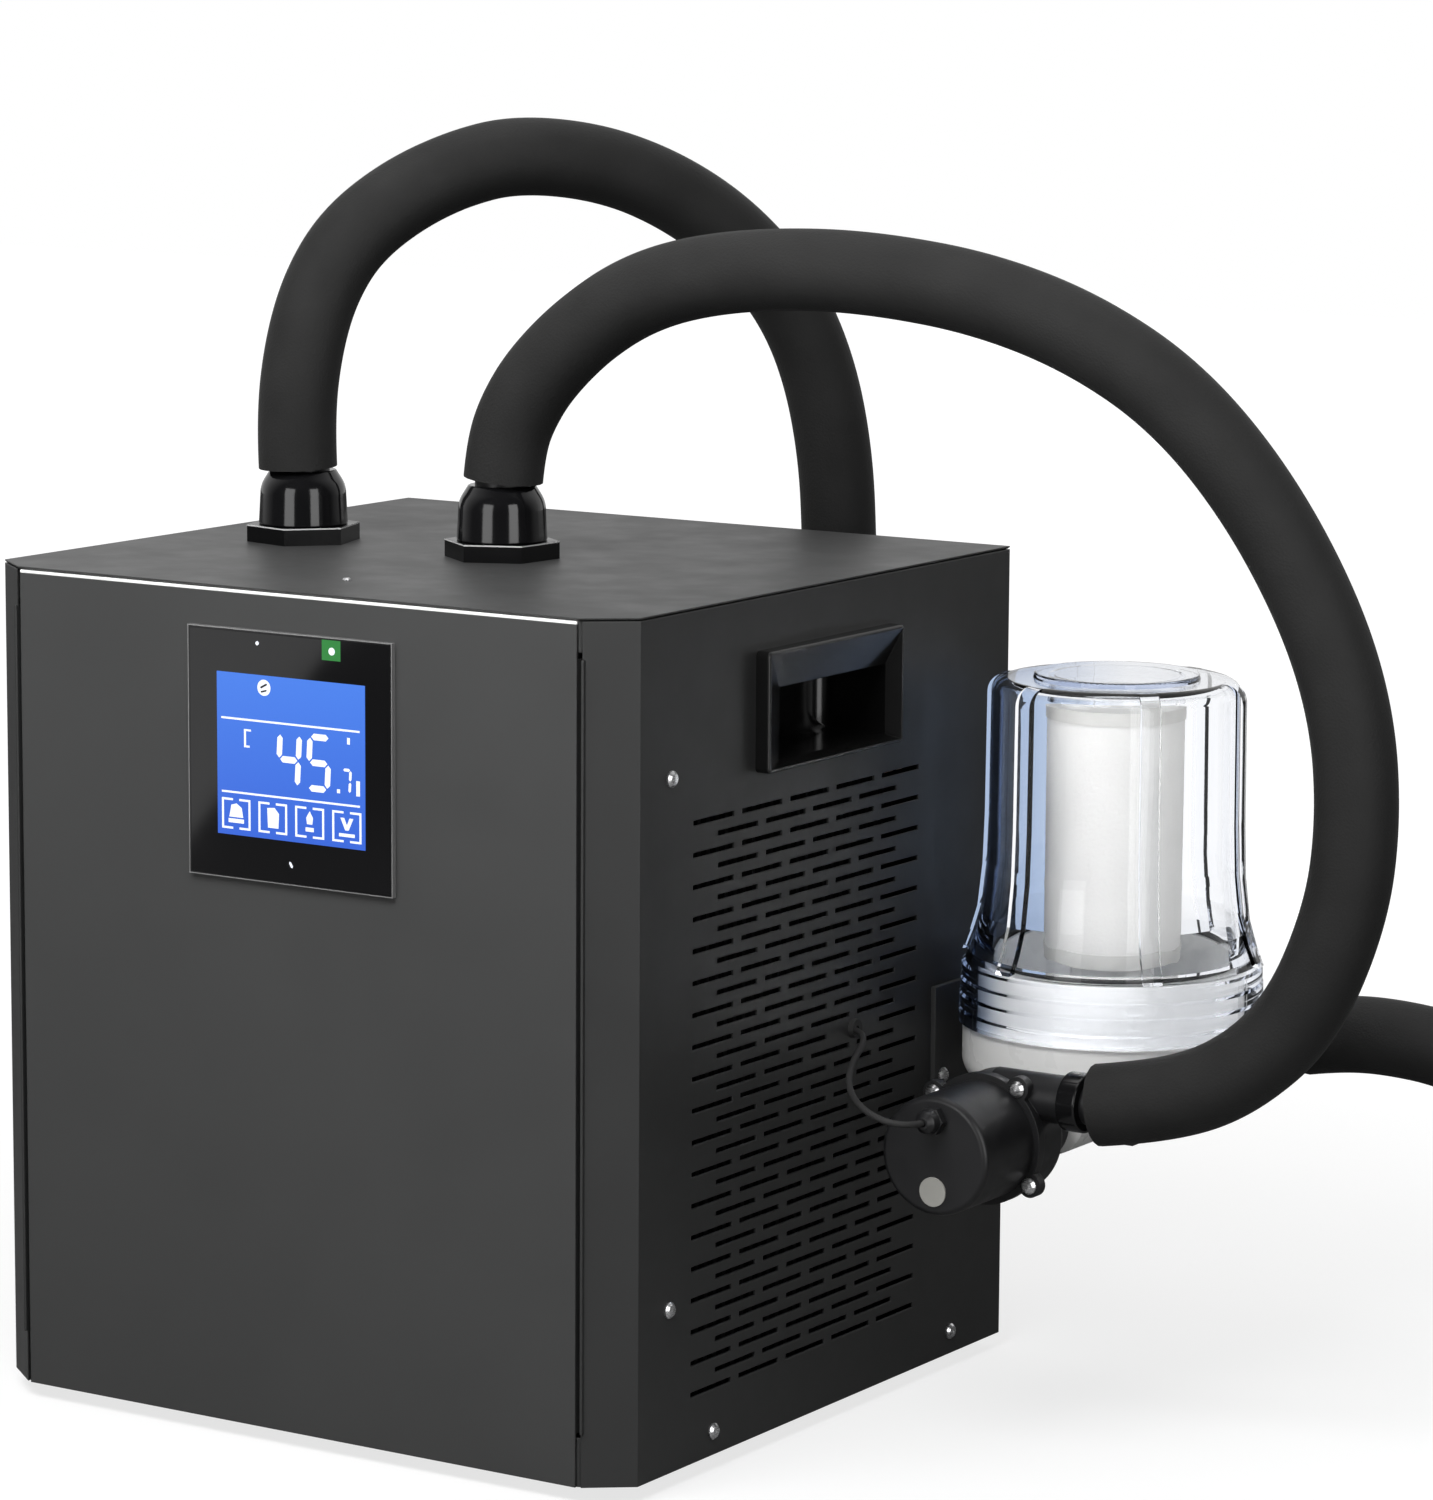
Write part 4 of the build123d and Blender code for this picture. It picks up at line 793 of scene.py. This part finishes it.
def key_signs():
    """The plain signs in the four keys: a bell on its bar, a sheet, a drop on its bar, an arrow on its bar."""
    bell = [(0.08, 0.11), (0.175, 0.11), (0.165, 0.17), (0.13, 0.195), (0.095, 0.185)]
    sheet = [(0.345, 0.07), (0.415, 0.07), (0.42, 0.16), (0.39, 0.195), (0.34, 0.19)]
    drop = [(0.61, 0.12), (0.645, 0.12), (0.65, 0.16), (0.628, 0.20), (0.605, 0.16)]
    arrow = [
        (0.835, 0.185),
        (0.86, 0.185),
        (0.878, 0.14),
        (0.896, 0.185),
        (0.921, 0.185),
        (0.889, 0.11),
        (0.867, 0.11),
    ]
    return [
        bar(0.075, 0.075, 0.18, 0.10),
        on_lcd(bell),
        on_lcd(sheet),
        on_lcd(drop),
        bar(0.60, 0.075, 0.655, 0.10),
        bar(0.825, 0.07, 0.93, 0.09),
        on_lcd(arrow),
    ]


def cooling_sign():
    """A round sign: a pale disc, and the two dark strokes across it."""
    x, z = on_lcd([COOLING_PLACE])[0]
    r = COOLING_RADIUS
    strokes = [
        stroke(x + u0 * r, z + v0 * r, x + u1 * r, z + v1 * r, width)
        for u0, v0, u1, v1, width in COOLING_STROKES
    ]
    return disc(x, z, r), strokes


def make_display():
    plate = flat_prisms("display_face", [bar(0, 0, 1, 1)], FACE_Y, FACE_PLATE, MATERIALS["display_blue"])
    marks = [bar(*line) for line in LONG_LINES]
    for shape in DIGITS:
        marks += digit(*shape)
    marks += [bar(*small) for small in SMALL_BARS]
    for key in KEYS:
        marks += key_frame(*key)
    marks += key_signs()
    round_sign, strokes = cooling_sign()
    marks.append(round_sign)
    front = FACE_Y - FACE_PLATE
    lit_marks = flat_prisms("display_marks", marks, front, SIGN_PLATE, DISPLAY_WHITE)
    lines = flat_prisms("sign_strokes", strokes, front - SIGN_PLATE, SIGN_PLATE, MATERIALS["panel_glass"])
    green = flat_prisms("run_lamp", [corners(*RUN_LAMP)], FACE_Y, SIGN_PLATE, DISPLAY_GREEN)
    # Painted glints: three pale spots on the glass that glow in the display's white
    glint_shapes = [disc(*LEFT_GLINT), disc(*LAMP_GLINT, steps=20), stroke(*LOW_GLINT)]
    glints = flat_prisms("painted_glints", glint_shapes, FACE_Y - SIGN_PLATE, SIGN_PLATE, DISPLAY_WHITE)


# Surroundings

def make_floor():
    """A white floor. It glows up to the background's white for the camera, less near the object."""
    mesh = bpy.data.meshes.new("floor")
    outline = corners(-FLOOR_HALF, -FLOOR_HALF, FLOOR_HALF, FLOOR_HALF)
    mesh.from_pydata([(x, y, -FLOOR_DROP) for x, y in outline], [], [(0, 1, 2, 3)])
    floor = bpy.data.objects.new("floor", mesh)
    scene.collection.objects.link(floor)
    s = Shader("floor_white", FLOOR_GREY, roughness=0.95)
    s.mottle(s.noise(scale=1.0), amount=0.005)
    s.set("Specular IOR Level", 0.0)
    s.set("Emission Color", (1, 1, 1, 1))
    distance = s.vector_maths("LENGTH", s.place).outputs["Value"]
    glow = carry(s.tree, distance, GLOW_REACH, *FLOOR_GLOW)
    seen = light_path(s.tree, "Is Camera Ray", "Is Transmission Ray")
    s.set("Emission Strength", carry(s.tree, seen, (0, 1), 0.0, glow))
    mesh.materials.append(s.material)


def make_world():
    """A white backdrop behind the object, a dark studio on the camera's side of it."""
    world = bpy.data.worlds.new("studio")
    scene.world = world
    world.use_nodes = True
    tree = world.node_tree
    background = tree.nodes["Background"]
    background.inputs["Color"].default_value = (1, 1, 1, 1)
    coordinates = tree.nodes.new("ShaderNodeTexCoord")
    along = tree.nodes.new("ShaderNodeVectorMath")
    along.operation = "DOT_PRODUCT"
    along.inputs[1].default_value = BACKDROP
    tree.links.new(coordinates.outputs["Generated"], along.inputs[0])
    behind = carry(tree, along.outputs["Value"], BACKDROP_EDGE, STUDIO_DARK, BACKDROP_LIGHT)
    mirrored = carry(tree, light_path(tree, "Is Glossy Ray"), (0, 1), WORLD_LIGHT, behind)
    seen = light_path(tree, "Is Camera Ray", "Is Transmission Ray")
    fill(tree, background.inputs["Strength"], carry(tree, seen, (0, 1), mirrored, 1.0))


def around(azimuth, distance, height):
    """A place at an azimuth in degrees round the object, counted from +X."""
    angle = math.radians(azimuth)
    return distance * math.cos(angle), distance * math.sin(angle), height


def area_light(name, place, target, size, power, diffuse=True, glossy=True, turn=0.0):
    """A rectangular lamp that faces its target, then turned by some degrees about Z."""
    data = bpy.data.lights.new(name, "AREA")
    data.shape = "RECTANGLE"
    data.size, data.size_y = size
    data.energy = power
    lamp = bpy.data.objects.new(name, data)
    lamp.location = place
    direction = Vector(target) - Vector(place)
    lamp.rotation_euler = direction.to_track_quat("-Z", "Y").to_euler()
    lamp.rotation_euler.z += math.radians(turn)
    lamp.visible_diffuse = diffuse
    lamp.visible_glossy = glossy
    scene.collection.objects.link(lamp)


def make_lights():
    """A key above the front, a wide top light, and the shapes that only gloss reflects."""
    area_light("key", place=(0.1, -0.75, 1.05), target=(0.0, -0.16, 0.3),
               size=(0.9, 0.5), power=16, glossy=False)
    area_light("top", place=(-0.1, 0.1, 2.6), target=(0.0, 0, 0.2), size=(2.0, 2.0), power=12)
    area_light("left_box", place=around(-93, 2.0, 0.75), target=(0, 0, 0.40),
               size=(0.95, 1.25), power=12, diffuse=False)
    area_light("right_box", place=around(-25, 1.3, 0.55), target=(0.1, 0, 0.40),
               size=(0.55, 1.05), power=6, diffuse=False)
    area_light("card", place=(-1.69, -1.64, 0.01), target=(-1.69, -1.64, 1.0),
               size=(0.9, 1.95), power=5.2, diffuse=False, turn=-31)


def make_camera():
    data = bpy.data.cameras.new("camera")
    data.lens = CAMERA_LENS
    data.sensor_width = SENSOR_WIDTH
    data.sensor_fit = "AUTO"
    data.clip_end = CAMERA_REACH
    camera = bpy.data.objects.new("camera", data)
    turn = Matrix.Rotation(CAMERA_YAW, 4, "Z") @ Matrix.Rotation(math.pi / 2 - CAMERA_PITCH, 4, "X")
    turn = turn @ Matrix.Rotation(CAMERA_ROLL, 4, "Z")
    camera.matrix_world = Matrix.Translation(CAMERA_PLACE) @ turn
    scene.collection.objects.link(camera)
    scene.camera = camera


scene.view_settings.view_transform = "Standard"
dress_nodes()
make_cords()
make_display()
make_floor()
make_world()
make_lights()
make_camera()
